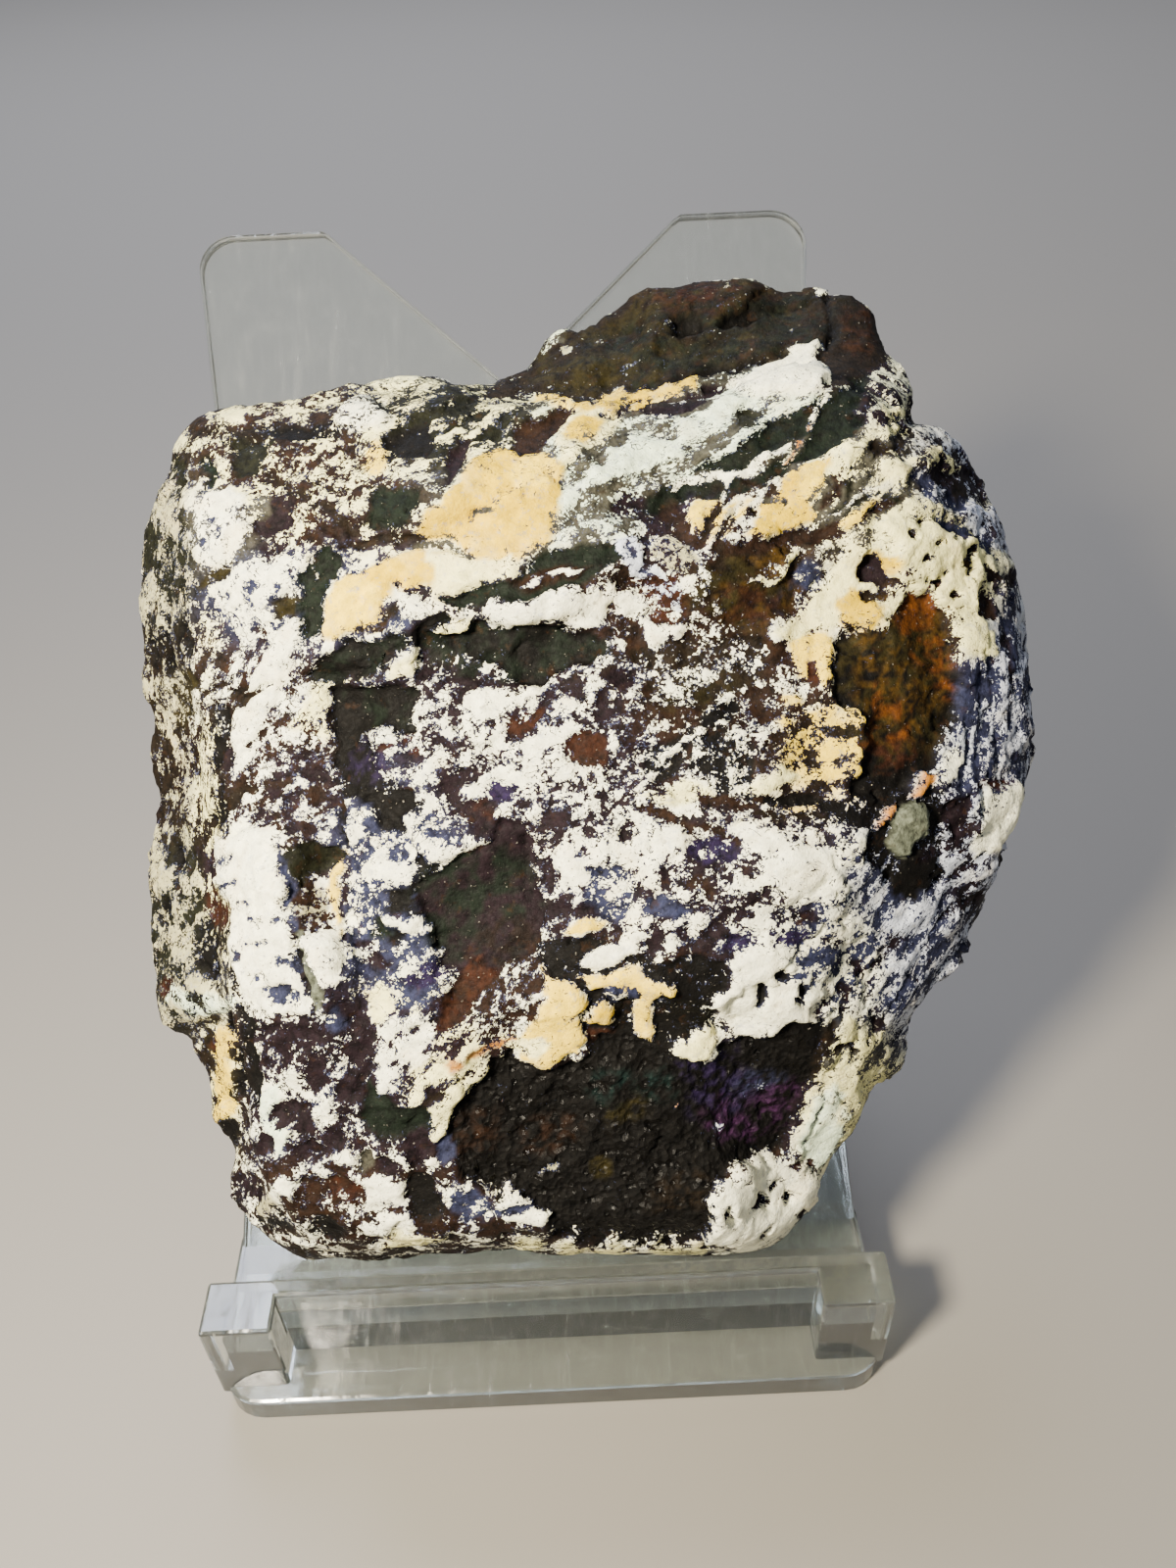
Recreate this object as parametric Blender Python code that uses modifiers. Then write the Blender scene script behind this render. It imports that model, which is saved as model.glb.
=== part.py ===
"""A hand specimen of crandallite leaning on a clear moulded display easel.

The specimen is one broken block of dark rock with a pale crandallite crust. The easel is one
clear moulding: a base plate, a front bar with a square block at each end, a reclined back plate
with a V notch, and a strut behind it. Sizes are millimetres in the constants, metres in Blender.
The origin is the middle of the base plate's underside. +Z is up and the specimen faces -Y.
"""

import math

import bmesh
import bpy
import numpy as np
from mathutils import Matrix, Vector, noise

MM = 0.001

# Easel, driving dimensions
EASEL_WIDTH = 64.0
BASE_DEPTH = 73.8
BASE_THICK = 3.3
BASE_FRONT_RADIUS = 4.0
BASE_NOSE = 1.7
LEAN = math.radians(39.6)
PLATE_THICK = 3.0
PLATE_LENGTH = 113.4
PLATE_FOOT = 3.5
PLATE_HALF_END = 31.8
PLATE_HALF_WAIST = 28.7
PLATE_CORNER = 3.6
NOTCH_HALF = 18.0
NOTCH_DEPTH = 16.4
BLOCK_WIDTH = 6.7
BLOCK_DEPTH = 5.2
BAR_TOP = 13.5
WALL_THICK = 1.8
LEDGE_TOP = 9.3
STRUT_THICK = 3.0
STRUT_HALF = 20.0
STRUT_JOIN = 68.0
STRUT_TOE = 68.5
EDGE_ROUND = 0.35

# Specimen, driving dimensions. u runs right, v up the easel's plate and w out of the plate.
STONE_SHIFT = 6.0
STONE_RISE = 56.7
STONE_THICK = 27.0
STONE_GAP = 0.42
STONE_FACES = 8200
CUBE_CUTS = 84
VOXEL = 0.75
CHIP_COUNT = 70

# Where the bar's top inner edge stands: v up the plate and w out of it
BAR_LINE = (BLOCK_DEPTH - PLATE_FOOT) * math.sin(LEAN) + BAR_TOP * math.cos(LEAN) - STONE_RISE
BAR_OUT = BAR_TOP * math.sin(LEAN) - (BLOCK_DEPTH - PLATE_FOOT) * math.cos(LEAN)

# The widest outline of the specimen, as (u, v) points from its middle, anticlockwise.
SILHOUETTE = [
    (41.5, -1), (41.6, 3), (42.4, 8.5), (41.8, 12.5), (42.2, 16.5), (41.5, 20.5), (39.5, 23.8),
    (39.0, 27.2), (37.4, 29.8), (34.8, 31.6), (32.0, 30.8), (29.2, 28.7), (30.2, 32.5),
    (31.6, 35.2), (30.2, 38.0), (28.9, 38.8), (29.6, 42.4), (28.6, 44.6), (27.4, 46.2),
    (25.6, 46.4), (20.6, 46.2), (16.9, 47.8), (12.8, 48.8),
    (9, 48.2), (6.2, 45.6), (2.0, 43.4), (-3, 40.6), (-6.5, 38.2), (-9.5, 37.3), (-14, 37.6),
    (-18, 36.2), (-25, 36), (-31, 36), (-35.2, 35.2), (-37.6, 33.2), (-39.6, 29.8), (-39.8, 24),
    (-41, 17), (-41, 9), (-40.2, 1), (-42.5, -5), (-42.8, -9), (-41.3, -13), (-42, -17.5),
    (-41, -20), (-37.4, -21), (-37.2, -25), (-38.3, -31), (-35.2, -34), (-38, -39.5),
    (-35.8, -43), (-30, -44.6), (-24, -45.2), (-18, -44.2), (-10, -44), (-2, -44.6),
    (5, -45.4), (9, -47), (12.5, -48.2), (16.5, -47), (19.6, -41.5), (20.6, -37), (23.5, -33.8),
    (25, -29.5), (28.2, -27), (31, -22), (33.2, -19.5), (35.6, -14), (38.6, -10.5), (40, -5),
]
# The rim of the broken front face, which stands about a stone's thickness in front.
FACE_RIM = [
    (31.5, 0), (32.5, 8), (31.5, 16), (29, 21), (26.5, 25), (25.5, 30), (20.5, 33.5), (14, 32),
    (8, 31.5), (-3, 31.5), (-12, 31.5), (-20, 30.5), (-28, 28.5), (-32, 24), (-33, 15), (-31, 6),
    (-30, -4), (-30.5, -12), (-29.5, -22), (-29, -30), (-28.5, -34), (-20, -36), (-8, -36.5),
    (5, -37.5), (10, -36), (13, -30), (18, -23.5), (22.5, -17), (27, -9),
]
# The sharp corner at the top right, which the chips leave whole
CORNER = (27.0, 44.5, 9.0)
# Flat chips broken off the block: outward direction (u, v, w), distance from the middle, bite.
CHIPS = [
    ((0.86, 0.30, 0.42), 44.0, 0.8),
    ((0.70, -0.60, 0.40), 37.5, 0.8),
    ((-0.62, 0.72, 0.32), 53.0, 0.7),
    ((0.10, 0.88, 0.46), 50.5, 0.7),
    ((-0.86, -0.10, 0.50), 45.5, 0.6),
    ((0.20, -0.88, 0.44), 52.0, 0.8),
    ((0.50, 0.10, -0.86), 26.0, 0.8),
    ((-0.55, 0.25, -0.80), 27.5, 0.8),
    ((0.05, 0.62, -0.78), 37.0, 0.8),
    ((-0.15, -0.60, -0.79), 33.0, 0.8),
]

COLOURS = {
    "dark_rock_with_white_crust": ((0.36, 0.33, 0.29, 1.0), 0.75, 0.0),
    "clear_styrene": ((0.86, 0.88, 0.86, 1.0), 0.08, 0.0),
}


def clear_scene():
    for old in list(bpy.data.objects):
        bpy.data.objects.remove(old)


def collection_named(name):
    made = bpy.data.collections.new(name)
    bpy.context.scene.collection.children.link(made)
    return made


def material(name):
    colour, roughness, metallic = COLOURS[name]
    made = bpy.data.materials.new(name)
    made.use_nodes = True
    shader = made.node_tree.nodes["Principled BSDF"]
    shader.inputs["Base Color"].default_value = colour
    shader.inputs["Roughness"].default_value = roughness
    shader.inputs["Metallic"].default_value = metallic
    return made


def easel_place(behind, height):
    """World y and z, in metres, of a point so far behind the blocks' front and above the table."""
    middle = BASE_DEPTH / 2 - BASE_NOSE
    return (behind - middle) * MM, height * MM


def stone_frame():
    """Takes (u, v, w) in millimetres on the reclined plate to world metres."""
    behind = PLATE_FOOT + STONE_RISE * math.sin(LEAN)
    y, z = easel_place(behind, STONE_RISE * math.cos(LEAN))
    turn = Matrix.Rotation(math.pi / 2 - LEAN, 4, "X")
    return Matrix.Translation((STONE_SHIFT * MM, y, z)) @ turn @ Matrix.Scale(MM, 4)


# Outlines and plates


def arc(centre, radius, start, end, steps=6):
    """Points of a round corner, angles in degrees."""
    turns = [math.radians(start + (end - start) * i / steps) for i in range(steps + 1)]
    return [(centre[0] + radius * math.cos(a), centre[1] + radius * math.sin(a)) for a in turns]


def flat_plate(name, outline, thickness, place, home):
    """A flat outline in millimetres, extruded to a plate, as a mesh with rounded edges."""
    curve = bpy.data.curves.new(name, "CURVE")
    curve.dimensions = "2D"
    curve.fill_mode = "BOTH"
    curve.extrude = thickness * MM / 2
    spline = curve.splines.new("POLY")
    spline.points.add(len(outline) - 1)
    for point, (x, y) in zip(spline.points, outline):
        point.co = (x * MM, y * MM, 0.0, 1.0)
    spline.use_cyclic_u = True
    drawn = bpy.data.objects.new(name + "_outline", curve)
    home.objects.link(drawn)
    drawn.matrix_world = place
    bpy.context.view_layer.update()
    graph = bpy.context.evaluated_depsgraph_get()
    mesh = bpy.data.meshes.new_from_object(drawn.evaluated_get(graph))
    plate = bpy.data.objects.new(name, mesh)
    home.objects.link(plate)
    plate.matrix_world = drawn.matrix_world
    bpy.data.objects.remove(drawn)
    shape = bmesh.new()
    shape.from_mesh(mesh)
    bmesh.ops.remove_doubles(shape, verts=shape.verts, dist=1e-6)
    bmesh.ops.recalc_face_normals(shape, faces=shape.faces)
    bmesh.ops.dissolve_limit(shape, angle_limit=0.01, verts=shape.verts, edges=shape.edges)
    sharp = [e for e in shape.edges if e.calc_face_angle(0.0) > math.radians(35)]
    bmesh.ops.bevel(shape, geom=sharp, offset=EDGE_ROUND * MM, offset_type="OFFSET", segments=2,
                    profile=0.5, affect="EDGES", clamp_overlap=True, material=-1)
    shape.to_mesh(mesh)
    shape.free()
    return plate


def base_outline():
    half = EASEL_WIDTH / 2
    inner = half - BASE_FRONT_RADIUS
    near = -BASE_DEPTH / 2
    front_left = arc((-inner, near + BASE_FRONT_RADIUS), BASE_FRONT_RADIUS, 180, 270)
    front_right = arc((inner, near + BASE_FRONT_RADIUS), BASE_FRONT_RADIUS, 270, 360)
    return front_left + front_right + [(half, -near), (-half, -near)]


def plate_half_width(along):
    """Half the plate's width at a distance along it: it is waisted."""
    middle = PLATE_LENGTH * 0.55
    share = (along - middle) / middle
    return PLATE_HALF_WAIST + (PLATE_HALF_END - PLATE_HALF_WAIST) * share * share


def back_plate_outline(foot):
    """One side of the waisted plate with its prong and V notch, mirrored for the other side."""
    side = [(plate_half_width(a), a) for a in np.linspace(foot, PLATE_LENGTH - PLATE_CORNER, 9)]
    top_half = plate_half_width(PLATE_LENGTH - PLATE_CORNER)
    corner = arc((top_half - PLATE_CORNER, PLATE_LENGTH - PLATE_CORNER), PLATE_CORNER, 12, 90)
    notch = [(NOTCH_HALF, PLATE_LENGTH), (NOTCH_HALF - 0.8, PLATE_LENGTH - 0.5)]
    right = side + corner + notch
    left = [(-x, y) for x, y in reversed(right)]
    return right + [(0.0, PLATE_LENGTH - NOTCH_DEPTH)] + left


def wall_outline():
    """The front wall and ledge seen from the side, as (behind, height)."""
    wall_back = BLOCK_DEPTH
    wall_front = BLOCK_DEPTH - WALL_THICK
    plate_at_ledge = PLATE_FOOT + (LEDGE_TOP + 0.6) * math.tan(LEAN) + 0.8
    plate_at_base = PLATE_FOOT + BASE_THICK * math.tan(LEAN) + 1.5
    return [
        (wall_front, BASE_THICK - 1.2), (plate_at_base, BASE_THICK - 1.2),
        (plate_at_ledge, LEDGE_TOP), (wall_back, LEDGE_TOP), (wall_back, BAR_TOP),
        (wall_front, BAR_TOP),
    ]


def side_profile_place():
    """Stands a (behind, height) outline up, extruded across the easel's width."""
    y, z = easel_place(0.0, 0.0)
    axes = Matrix(((0, 0, 1, 0), (1, 0, 0, 0), (0, 1, 0, 0), (0, 0, 0, 1)))
    return Matrix.Translation((0.0, y, z)) @ axes


def end_block(side, home):
    name = "end_block_cutter_" + ("right" if side > 0 else "left")
    outline = [(0.0, BASE_THICK - 1.2), (BLOCK_DEPTH, BASE_THICK - 1.2), (BLOCK_DEPTH, BAR_TOP),
               (0.0, BAR_TOP)]
    shift = Matrix.Translation((side * (EASEL_WIDTH - BLOCK_WIDTH) / 2 * MM, 0.0, 0.0))
    return flat_plate(name, outline, BLOCK_WIDTH, shift @ side_profile_place(), home)


def back_plate(home):
    """The reclined plate. It starts inside the base plate, so that the two are one moulding."""
    foot = (BASE_THICK - 1.4) / math.cos(LEAN)
    y, z = easel_place(PLATE_FOOT, 0.0)
    turn = Matrix.Rotation(math.pi / 2 - LEAN, 4, "X")
    sink = Matrix.Translation((0.0, 0.0, -PLATE_THICK / 2 * MM))
    place = Matrix.Translation((0.0, y, z)) @ turn @ sink
    return flat_plate("back_plate_body", back_plate_outline(foot), PLATE_THICK, place, home)


def strut(home):
    """The strut from the base's rear up to the back of the plate."""
    top_behind = PLATE_FOOT + STRUT_JOIN * math.sin(LEAN) + PLATE_THICK * 0.3
    top_height = STRUT_JOIN * math.cos(LEAN)
    toe_height = BASE_THICK - 1.4
    run = math.hypot(STRUT_TOE - top_behind, top_height - toe_height)
    angle = math.atan2(top_height - toe_height, top_behind - STRUT_TOE)
    outline = [(-STRUT_HALF, 0.0), (STRUT_HALF, 0.0), (STRUT_HALF * 0.8, run),
               (-STRUT_HALF * 0.8, run)]
    y, z = easel_place(STRUT_TOE, toe_height)
    place = Matrix.Translation((0.0, y, z)) @ Matrix.Rotation(angle, 4, "X")
    return flat_plate("strut_body", outline, STRUT_THICK, place, home)


def joined(first, others):
    """Unions closed bodies into the first, and removes the others."""
    for other in others:
        cut = first.modifiers.new("join", "BOOLEAN")
        cut.operation = "UNION"
        cut.solver = "EXACT"
        cut.object = other
    bpy.context.view_layer.update()
    graph = bpy.context.evaluated_depsgraph_get()
    mesh = bpy.data.meshes.new_from_object(first.evaluated_get(graph))
    first.modifiers.clear()
    first.data = mesh
    for other in others:
        bpy.data.objects.remove(other)
    return first


def display_easel(home):
    y, z = 0.0, BASE_THICK / 2 * MM
    base = flat_plate("display_easel", base_outline(), BASE_THICK,
                      Matrix.Translation((0.0, y, z)), home)
    wall = flat_plate("front_wall_body", wall_outline(), EASEL_WIDTH - 2.0, side_profile_place(),
                      home)
    bodies = [wall, back_plate(home), strut(home), end_block(-1, home), end_block(1, home)]
    easel = joined(base, bodies)
    easel.data.transform(easel.matrix_world)
    easel.matrix_world = Matrix.Identity(4)
    easel.data.materials.clear()
    easel.data.materials.append(material("clear_styrene"))
    return easel


# The specimen


def polar(points):
    """Angles and radii of an outline about the middle, sorted for interpolation."""
    pairs = sorted((math.atan2(v, u), math.hypot(u, v)) for u, v in points)
    return np.array([p[0] for p in pairs]), np.array([p[1] for p in pairs])


def radius_at(outline, angle):
    angles, radii = polar(outline)
    return np.interp(angle, angles, radii, period=2 * math.pi)


def smooth_step(value, low, high):
    share = np.clip((value - low) / (high - low), 0.0, 1.0)
    return share * share * (3.0 - 2.0 * share)


def between(angle, start, end, soft=9.0):
    """1 inside a span of directions in degrees, falling to 0 over soft degrees at its ends."""
    middle, half = (start + end) / 2, (end - start) / 2
    off = np.abs((np.degrees(angle) - middle + 180.0) % 360.0 - 180.0)
    return 1.0 - smooth_step(off, half - soft, half + soft)


def segment_distance(u, v, start, end):
    """Signed distance from a line through two points (positive to its left), and place along."""
    run = np.subtract(end, start)
    length = math.hypot(*run)
    along = ((u - start[0]) * run[0] + (v - start[1]) * run[1]) / length
    off = (run[0] * (v - start[1]) - run[1] * (u - start[0])) / length
    return off, along / length


def step_at_line(u, v, start, end, height, soft=0.7):
    """A ledge: the side to the line's left stands up by height, fading past the line's ends."""
    off, along = segment_distance(u, v, start, end)
    reach = smooth_step(along, -0.18, 0.04) * (1.0 - smooth_step(along, 0.96, 1.18))
    fade = np.exp(-np.clip(off, 0.0, None) / 9.0)
    return height * smooth_step(off, -soft, soft) * reach * fade


def groove_at_line(u, v, start, end, depth, half):
    off, along = segment_distance(u, v, start, end)
    reach = smooth_step(along, -0.08, 0.08) * (1.0 - smooth_step(along, 0.92, 1.08))
    return -depth * np.exp(-((off / half) ** 2)) * reach


def patch_at(u, v, centre, half_u, half_v, turn, height):
    """A low mound, or a hollow where height is negative, over a turned ellipse."""
    c, s = math.cos(math.radians(turn)), math.sin(math.radians(turn))
    a = ((u - centre[0]) * c + (v - centre[1]) * s) / half_u
    b = (-(u - centre[0]) * s + (v - centre[1]) * c) / half_v
    return height * (1.0 - smooth_step(np.sqrt(a * a + b * b), 0.75, 1.1))


def wandering(u, v):
    """Shifts points a little so that ledges and hollows get broken, irregular edges."""
    shifts = [noise.noise_vector(Vector((a / 7.0, b / 7.0, 2.2))) for a, b in zip(u, v)]
    moved = np.array([tuple(shift) for shift in shifts])
    return u + 3.4 * moved[:, 0], v + 3.4 * moved[:, 1]


def front_height(u, v, share):
    """How far the broken front stands off the plate, from its middle out to its rim."""
    w = STONE_THICK - 3.2 * share**2.4 - 1.2 * (v / 40.0) ** 2
    u, v = wandering(u, v)
    # Ledges of the dark beds, and the pale band raised over them
    w = w + step_at_line(u, v, (-22, 9.5), (4, 16.5), 2.4)
    w = w + step_at_line(u, v, (5.5, 16), (9, 12), 1.4)
    w = w + step_at_line(u, v, (-16, 21), (24, 28), 1.3)
    w = w + step_at_line(u, v, (-19, -1), (-17.5, 12), -1.3)
    w = w + step_at_line(u, v, (-19.5, -19), (-23.5, -3), 1.5)
    w = w + step_at_line(u, v, (30, -7), (27, 12), 1.5)
    # The hollow of the rusty patch, the dark windows and the black cavity at the foot
    w = w + patch_at(u, v, (24, 7.5), 8, 11, 15, -1.5)
    w = w + patch_at(u, v, (1, -27), 16, 10, 8, -1.9)
    w = w + patch_at(u, v, (-8, -11), 6, 8, -20, -1.2)
    w = w + patch_at(u, v, (9, 9), 8, 5, -40, -1.0)
    # Swellings of the crust
    w = w + patch_at(u, v, (12, -13), 11, 7, 10, 1.1)
    w = w + patch_at(u, v, (-25, -9), 4, 13, 4, 1.2)
    w = w + patch_at(u, v, (27, 23), 7, 6, -30, 1.6)
    w = w + patch_at(u, v, (-26, 20), 8, 6, 20, 1.0)
    w = w + patch_at(u, v, (-9, 26), 13, 4, 18, 1.2)
    w = w + groove_at_line(u, v, (-21, -4), (-17.5, -20), 1.2, 1.0)
    return w


def back_height(u, v, share):
    """The back bulges towards the plate and touches it near its middle."""
    return 1.0 + 5.5 * share**2.2 + 1.1 * np.sin(u / 7.0) * np.cos(v / 9.0)


def stone_surface(cube):
    """Sends points of the cube from -1 to 1 to the block: front, sides and back."""
    a, b, c = cube[:, 0], cube[:, 1], cube[:, 2]
    angle = np.arctan2(b, a)
    reach = np.maximum(np.abs(a), np.abs(b))
    wide = radius_at(SILHOUETTE, angle)
    rim = np.minimum(radius_at(FACE_RIM, angle), wide - 0.8)
    back = wide - 6.0 - 2.0 * np.sin(3 * angle + 0.6) - 1.5 * np.cos(5 * angle)

    slab = between(angle, 52, 104)
    left = between(angle, 158, 214)
    low_left = between(angle, 212, 232, 5.0)
    bottom = between(angle, 236, 294)
    wide_w = 9.0 - 1.5 * slab + 1.5 * left - 3.0 * low_left - 5.5 * bottom
    unit_u, unit_v = np.cos(angle), np.sin(angle)
    rim_w = front_height(rim * unit_u, rim * unit_v, np.ones_like(angle)) - 1.0
    rim_w = rim_w - 2.0 * between(angle, -70, 40) - 1.5 * slab
    back_w = back_height(back * unit_u, back * unit_v, np.ones_like(angle))

    # Between rim and silhouette the flank bulges, or drops in a step where the rock is ledged.
    stepped = np.clip(slab + left * 0.8 + low_left, 0.0, 1.0)
    mid_r = rim + (wide - rim) * (0.62 - 0.5 * stepped)
    mid_w = wide_w + (rim_w - wide_w) * (0.62 - 0.12 * stepped)

    side_r = np.where(c > 0.45, mid_r + (rim - mid_r) * (c - 0.45) / 0.55,
                      np.where(c > -0.25, wide + (mid_r - wide) * (c + 0.25) / 0.7,
                               back + (wide - back) * np.sqrt(np.clip((c + 1) / 0.75, 0, 1))))
    side_w = np.where(c > 0.45, mid_w + (rim_w - mid_w) * (c - 0.45) / 0.55,
                      np.where(c > -0.25, wide_w + (mid_w - wide_w) * (c + 0.25) / 0.7,
                               back_w + (wide_w - back_w) * ((c + 1) / 0.75) ** 1.3))
    radius = np.where(c > 0.999, rim * reach, np.where(c < -0.999, back * reach, side_r))
    u, v = radius * unit_u, radius * unit_v
    blend = reach**6
    front_w = front_height(u, v, reach) * (1 - blend) + rim_w * blend
    rear_w = back_height(u, v, reach) * (1 - blend) + back_w * blend
    w = np.where(c > 0.999, front_w, np.where(c < -0.999, rear_w, side_w))
    return np.stack([u, v, w], axis=1)


def lump(point, size, seed):
    return noise.noise(Vector(point) / size + Vector((seed, -seed, 2.0 * seed)))


def roughened(points, normals):
    """Adds lumps, bedding ledges and creases along the normals, largest first."""
    moved = points.copy()
    for i, (point, normal) in enumerate(zip(points, normals)):
        u, v, w = point
        flank = 1.0 - 0.45 * float(smooth_step(w, 15.0, 21.0))
        swell = 0.9 * lump(point, 14.0, 3.1) + 0.9 * lump(point, 6.0, 7.7)
        crease = 0.35 - abs(lump(point, 5.5, 1.9)) * 2.2
        bed = v * 0.93 - u * 0.36 + 1.6 * lump(point, 12.0, 4.4)
        ledge = (bed / 4.8) % 1.0
        shelf = 0.9 * (1.0 - ledge) * float(smooth_step(v, 12.0, 18.0))
        calm = 0.4 + 0.6 * float(smooth_step(np.linalg.norm(point - CORNER), 5.0, 12.0))
        moved[i] = point + normal * ((swell + crease * 0.7) + shelf) * flank * calm
    return moved


def chip_off(points, normal, over, bite):
    whole = smooth_step(np.linalg.norm(points - CORNER, axis=1), 6.0, 12.0)
    return points - np.outer(np.clip(over, 0.0, None) * bite * whole, normal)


def chipped(points):
    """Flattens what stands past each chip's plane: the large ones, then many small ones."""
    centre = np.array((0.0, 0.0, STONE_THICK * 0.45))
    for direction, distance, bite in CHIPS:
        normal = np.array(direction) / np.linalg.norm(direction)
        points = chip_off(points, normal, (points - centre) @ normal - distance, bite)
    random = np.random.default_rng(11)
    for _ in range(CHIP_COUNT):
        turn, rise = random.uniform(0, 2 * math.pi), random.uniform(0.5, 1.0)
        normal = np.array((math.cos(turn), math.sin(turn), rise * random.choice((-1.6, 0.8))))
        normal = normal / np.linalg.norm(normal)
        reach = (points - centre) @ normal
        depth = random.uniform(0.8, 2.4) * rise * rise
        points = chip_off(points, normal, reach - reach.max() + depth, 0.9)
    return points


def kept_clear(points):
    """Lifts the block off the plate, the ledge and the bar, where it only rests."""
    u, v, w = points.T
    w = np.maximum(w, STONE_GAP)
    ledge = -STONE_RISE + LEDGE_TOP / math.cos(LEAN) - w * math.tan(LEAN)
    bar = np.minimum(BAR_LINE, BAR_LINE - (BAR_OUT - w) / math.tan(LEAN))
    overhang = np.clip(w - BAR_OUT, 0.0, None) * 0.42
    return np.stack([u, np.maximum(v, np.maximum(ledge, bar) + overhang + STONE_GAP), w], 1)


def crandallite_specimen(home):
    shape = bmesh.new()
    bmesh.ops.create_cube(shape, size=2.0)
    bmesh.ops.subdivide_edges(shape, edges=shape.edges[:], cuts=CUBE_CUTS, use_grid_fill=True)
    mesh = bpy.data.meshes.new("crandallite_specimen")
    shape.to_mesh(mesh)
    shape.free()
    cube = np.empty(len(mesh.vertices) * 3)
    mesh.vertices.foreach_get("co", cube)
    points = stone_surface(cube.reshape(-1, 3))
    mesh.vertices.foreach_set("co", points.ravel())
    mesh.update()
    normals = np.array([tuple(v.normal) for v in mesh.vertices])
    points = kept_clear(chipped(roughened(points, normals)))
    mesh.vertices.foreach_set("co", points.ravel())
    mesh.transform(stone_frame())
    stone = bpy.data.objects.new("crandallite_specimen", mesh)
    home.objects.link(stone)
    mesh.materials.append(material("dark_rock_with_white_crust"))
    even = stone.modifiers.new("even", "REMESH")
    even.mode = "VOXEL"
    even.voxel_size = VOXEL * MM
    bpy.context.view_layer.update()
    graph = bpy.context.evaluated_depsgraph_get()
    full = sum(len(face.vertices) - 2 for face in stone.evaluated_get(graph).data.polygons)
    thin = stone.modifiers.new("thin", "DECIMATE")
    thin.ratio = STONE_FACES / full
    return stone


def main():
    clear_scene()
    home = collection_named("crandallite_on_easel")
    display_easel(home)
    crandallite_specimen(home)


main()
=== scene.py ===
# %% [markdown]
# # A crandallite specimen on a clear easel
# Crandallite is a phosphate mineral that grows as a chalky white to peach crust over dark rock.
# The specimen leans on a clear moulded easel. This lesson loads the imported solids, looks at them
# through a camera that stands where the photograph was taken, and gives each a finish made of code.

import math

import bmesh
import bpy
import numpy as np
from mathutils import Matrix, Vector


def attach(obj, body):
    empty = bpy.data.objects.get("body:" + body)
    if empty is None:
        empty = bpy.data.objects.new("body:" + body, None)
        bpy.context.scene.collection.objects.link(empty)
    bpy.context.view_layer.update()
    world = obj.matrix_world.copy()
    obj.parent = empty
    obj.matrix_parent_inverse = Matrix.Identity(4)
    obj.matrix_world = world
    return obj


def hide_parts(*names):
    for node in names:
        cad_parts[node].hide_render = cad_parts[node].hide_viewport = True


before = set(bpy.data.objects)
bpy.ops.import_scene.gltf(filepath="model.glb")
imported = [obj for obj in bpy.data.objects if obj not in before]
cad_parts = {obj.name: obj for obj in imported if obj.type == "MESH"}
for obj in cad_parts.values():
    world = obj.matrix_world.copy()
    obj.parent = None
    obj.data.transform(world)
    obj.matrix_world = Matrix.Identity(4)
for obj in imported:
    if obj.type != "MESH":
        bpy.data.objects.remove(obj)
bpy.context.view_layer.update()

# %% [markdown]
# ## The camera
# The photograph was taken with a phone held close, so the view is wide. The camera stands 125 mm
# over the table, looks down by 39.6 degrees and is rolled a little. Its frame is 1200 by 1600
# pixels, in which one pixel is 1/1300 of the distance. Every marking below is placed in that frame.

# %% The camera
MM = 0.001
FRAME = (1200, 1600)
PIXELS_PER_SLOPE = 1300.0
# pixels to the millimetre on the specimen's face
FACE_PIXELS = 12.3
CAMERA_AT = (6.05 * MM, -93.8 * MM, 125.0 * MM)
CAMERA_DOWN = math.radians(39.6)
CAMERA_ROLL = math.radians(-2.7)

lens = bpy.data.cameras.new("camera")
lens.sensor_width = 36.0
lens.lens = 36.0 * PIXELS_PER_SLOPE / FRAME[1]
lens.clip_start = 0.005
camera = bpy.data.objects.new("camera", lens)
bpy.context.scene.collection.objects.link(camera)
tilt = Matrix.Rotation(math.pi / 2 - CAMERA_DOWN, 4, "X") @ Matrix.Rotation(CAMERA_ROLL, 4, "Z")
camera.matrix_world = Matrix.Translation(CAMERA_AT) @ tilt
bpy.context.scene.camera = camera
print("lens", round(lens.lens, 2), "mm")


def seen_at(points):
    """Pixels of the photograph's frame, x right and y down, at which points are seen."""
    turn = np.array(tilt.to_3x3())
    local = (points - np.array(CAMERA_AT)) @ turn
    slope = local[:, :2] / -local[:, 2:3]
    x = FRAME[0] / 2 + slope[:, 0] * PIXELS_PER_SLOPE
    y = FRAME[1] / 2 - slope[:, 1] * PIXELS_PER_SLOPE
    return np.stack([x, y], axis=1)


# %% [markdown]
# ## Floor and light
# A plain pale floor runs out of the picture. The light is soft: a small lamp near the camera on its
# left throws the shadow to the right and brings out the relief, a large one high behind evens out
# the floor, and a pale sky fills in all round.

# %% Colours
def linear(hex_colour, alpha=1.0):
    """Turns an sRGB hex colour such as F3F2E6 to the linear values that shaders use."""
    channels = [int(hex_colour[i:i + 2], 16) / 255.0 for i in (0, 2, 4)]
    turned = [c / 12.92 if c <= 0.04045 else ((c + 0.055) / 1.055) ** 2.4 for c in channels]
    return (*turned, alpha)


def add(tree, kind, inputs=None, **settings):
    """Adds one node, sets its options, and gives each named input a value or a link."""
    node = tree.nodes.new(kind)
    for name, value in settings.items():
        setattr(node, name, value)
    for name, value in (inputs or {}).items():
        if isinstance(value, bpy.types.NodeSocket):
            tree.links.new(value, node.inputs[name])
        else:
            node.inputs[name].default_value = value
    return node


def new_material(name):
    made = bpy.data.materials.new(name)
    made.use_nodes = True
    shader = made.node_tree.nodes["Principled BSDF"]
    return made, made.node_tree, shader


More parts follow.
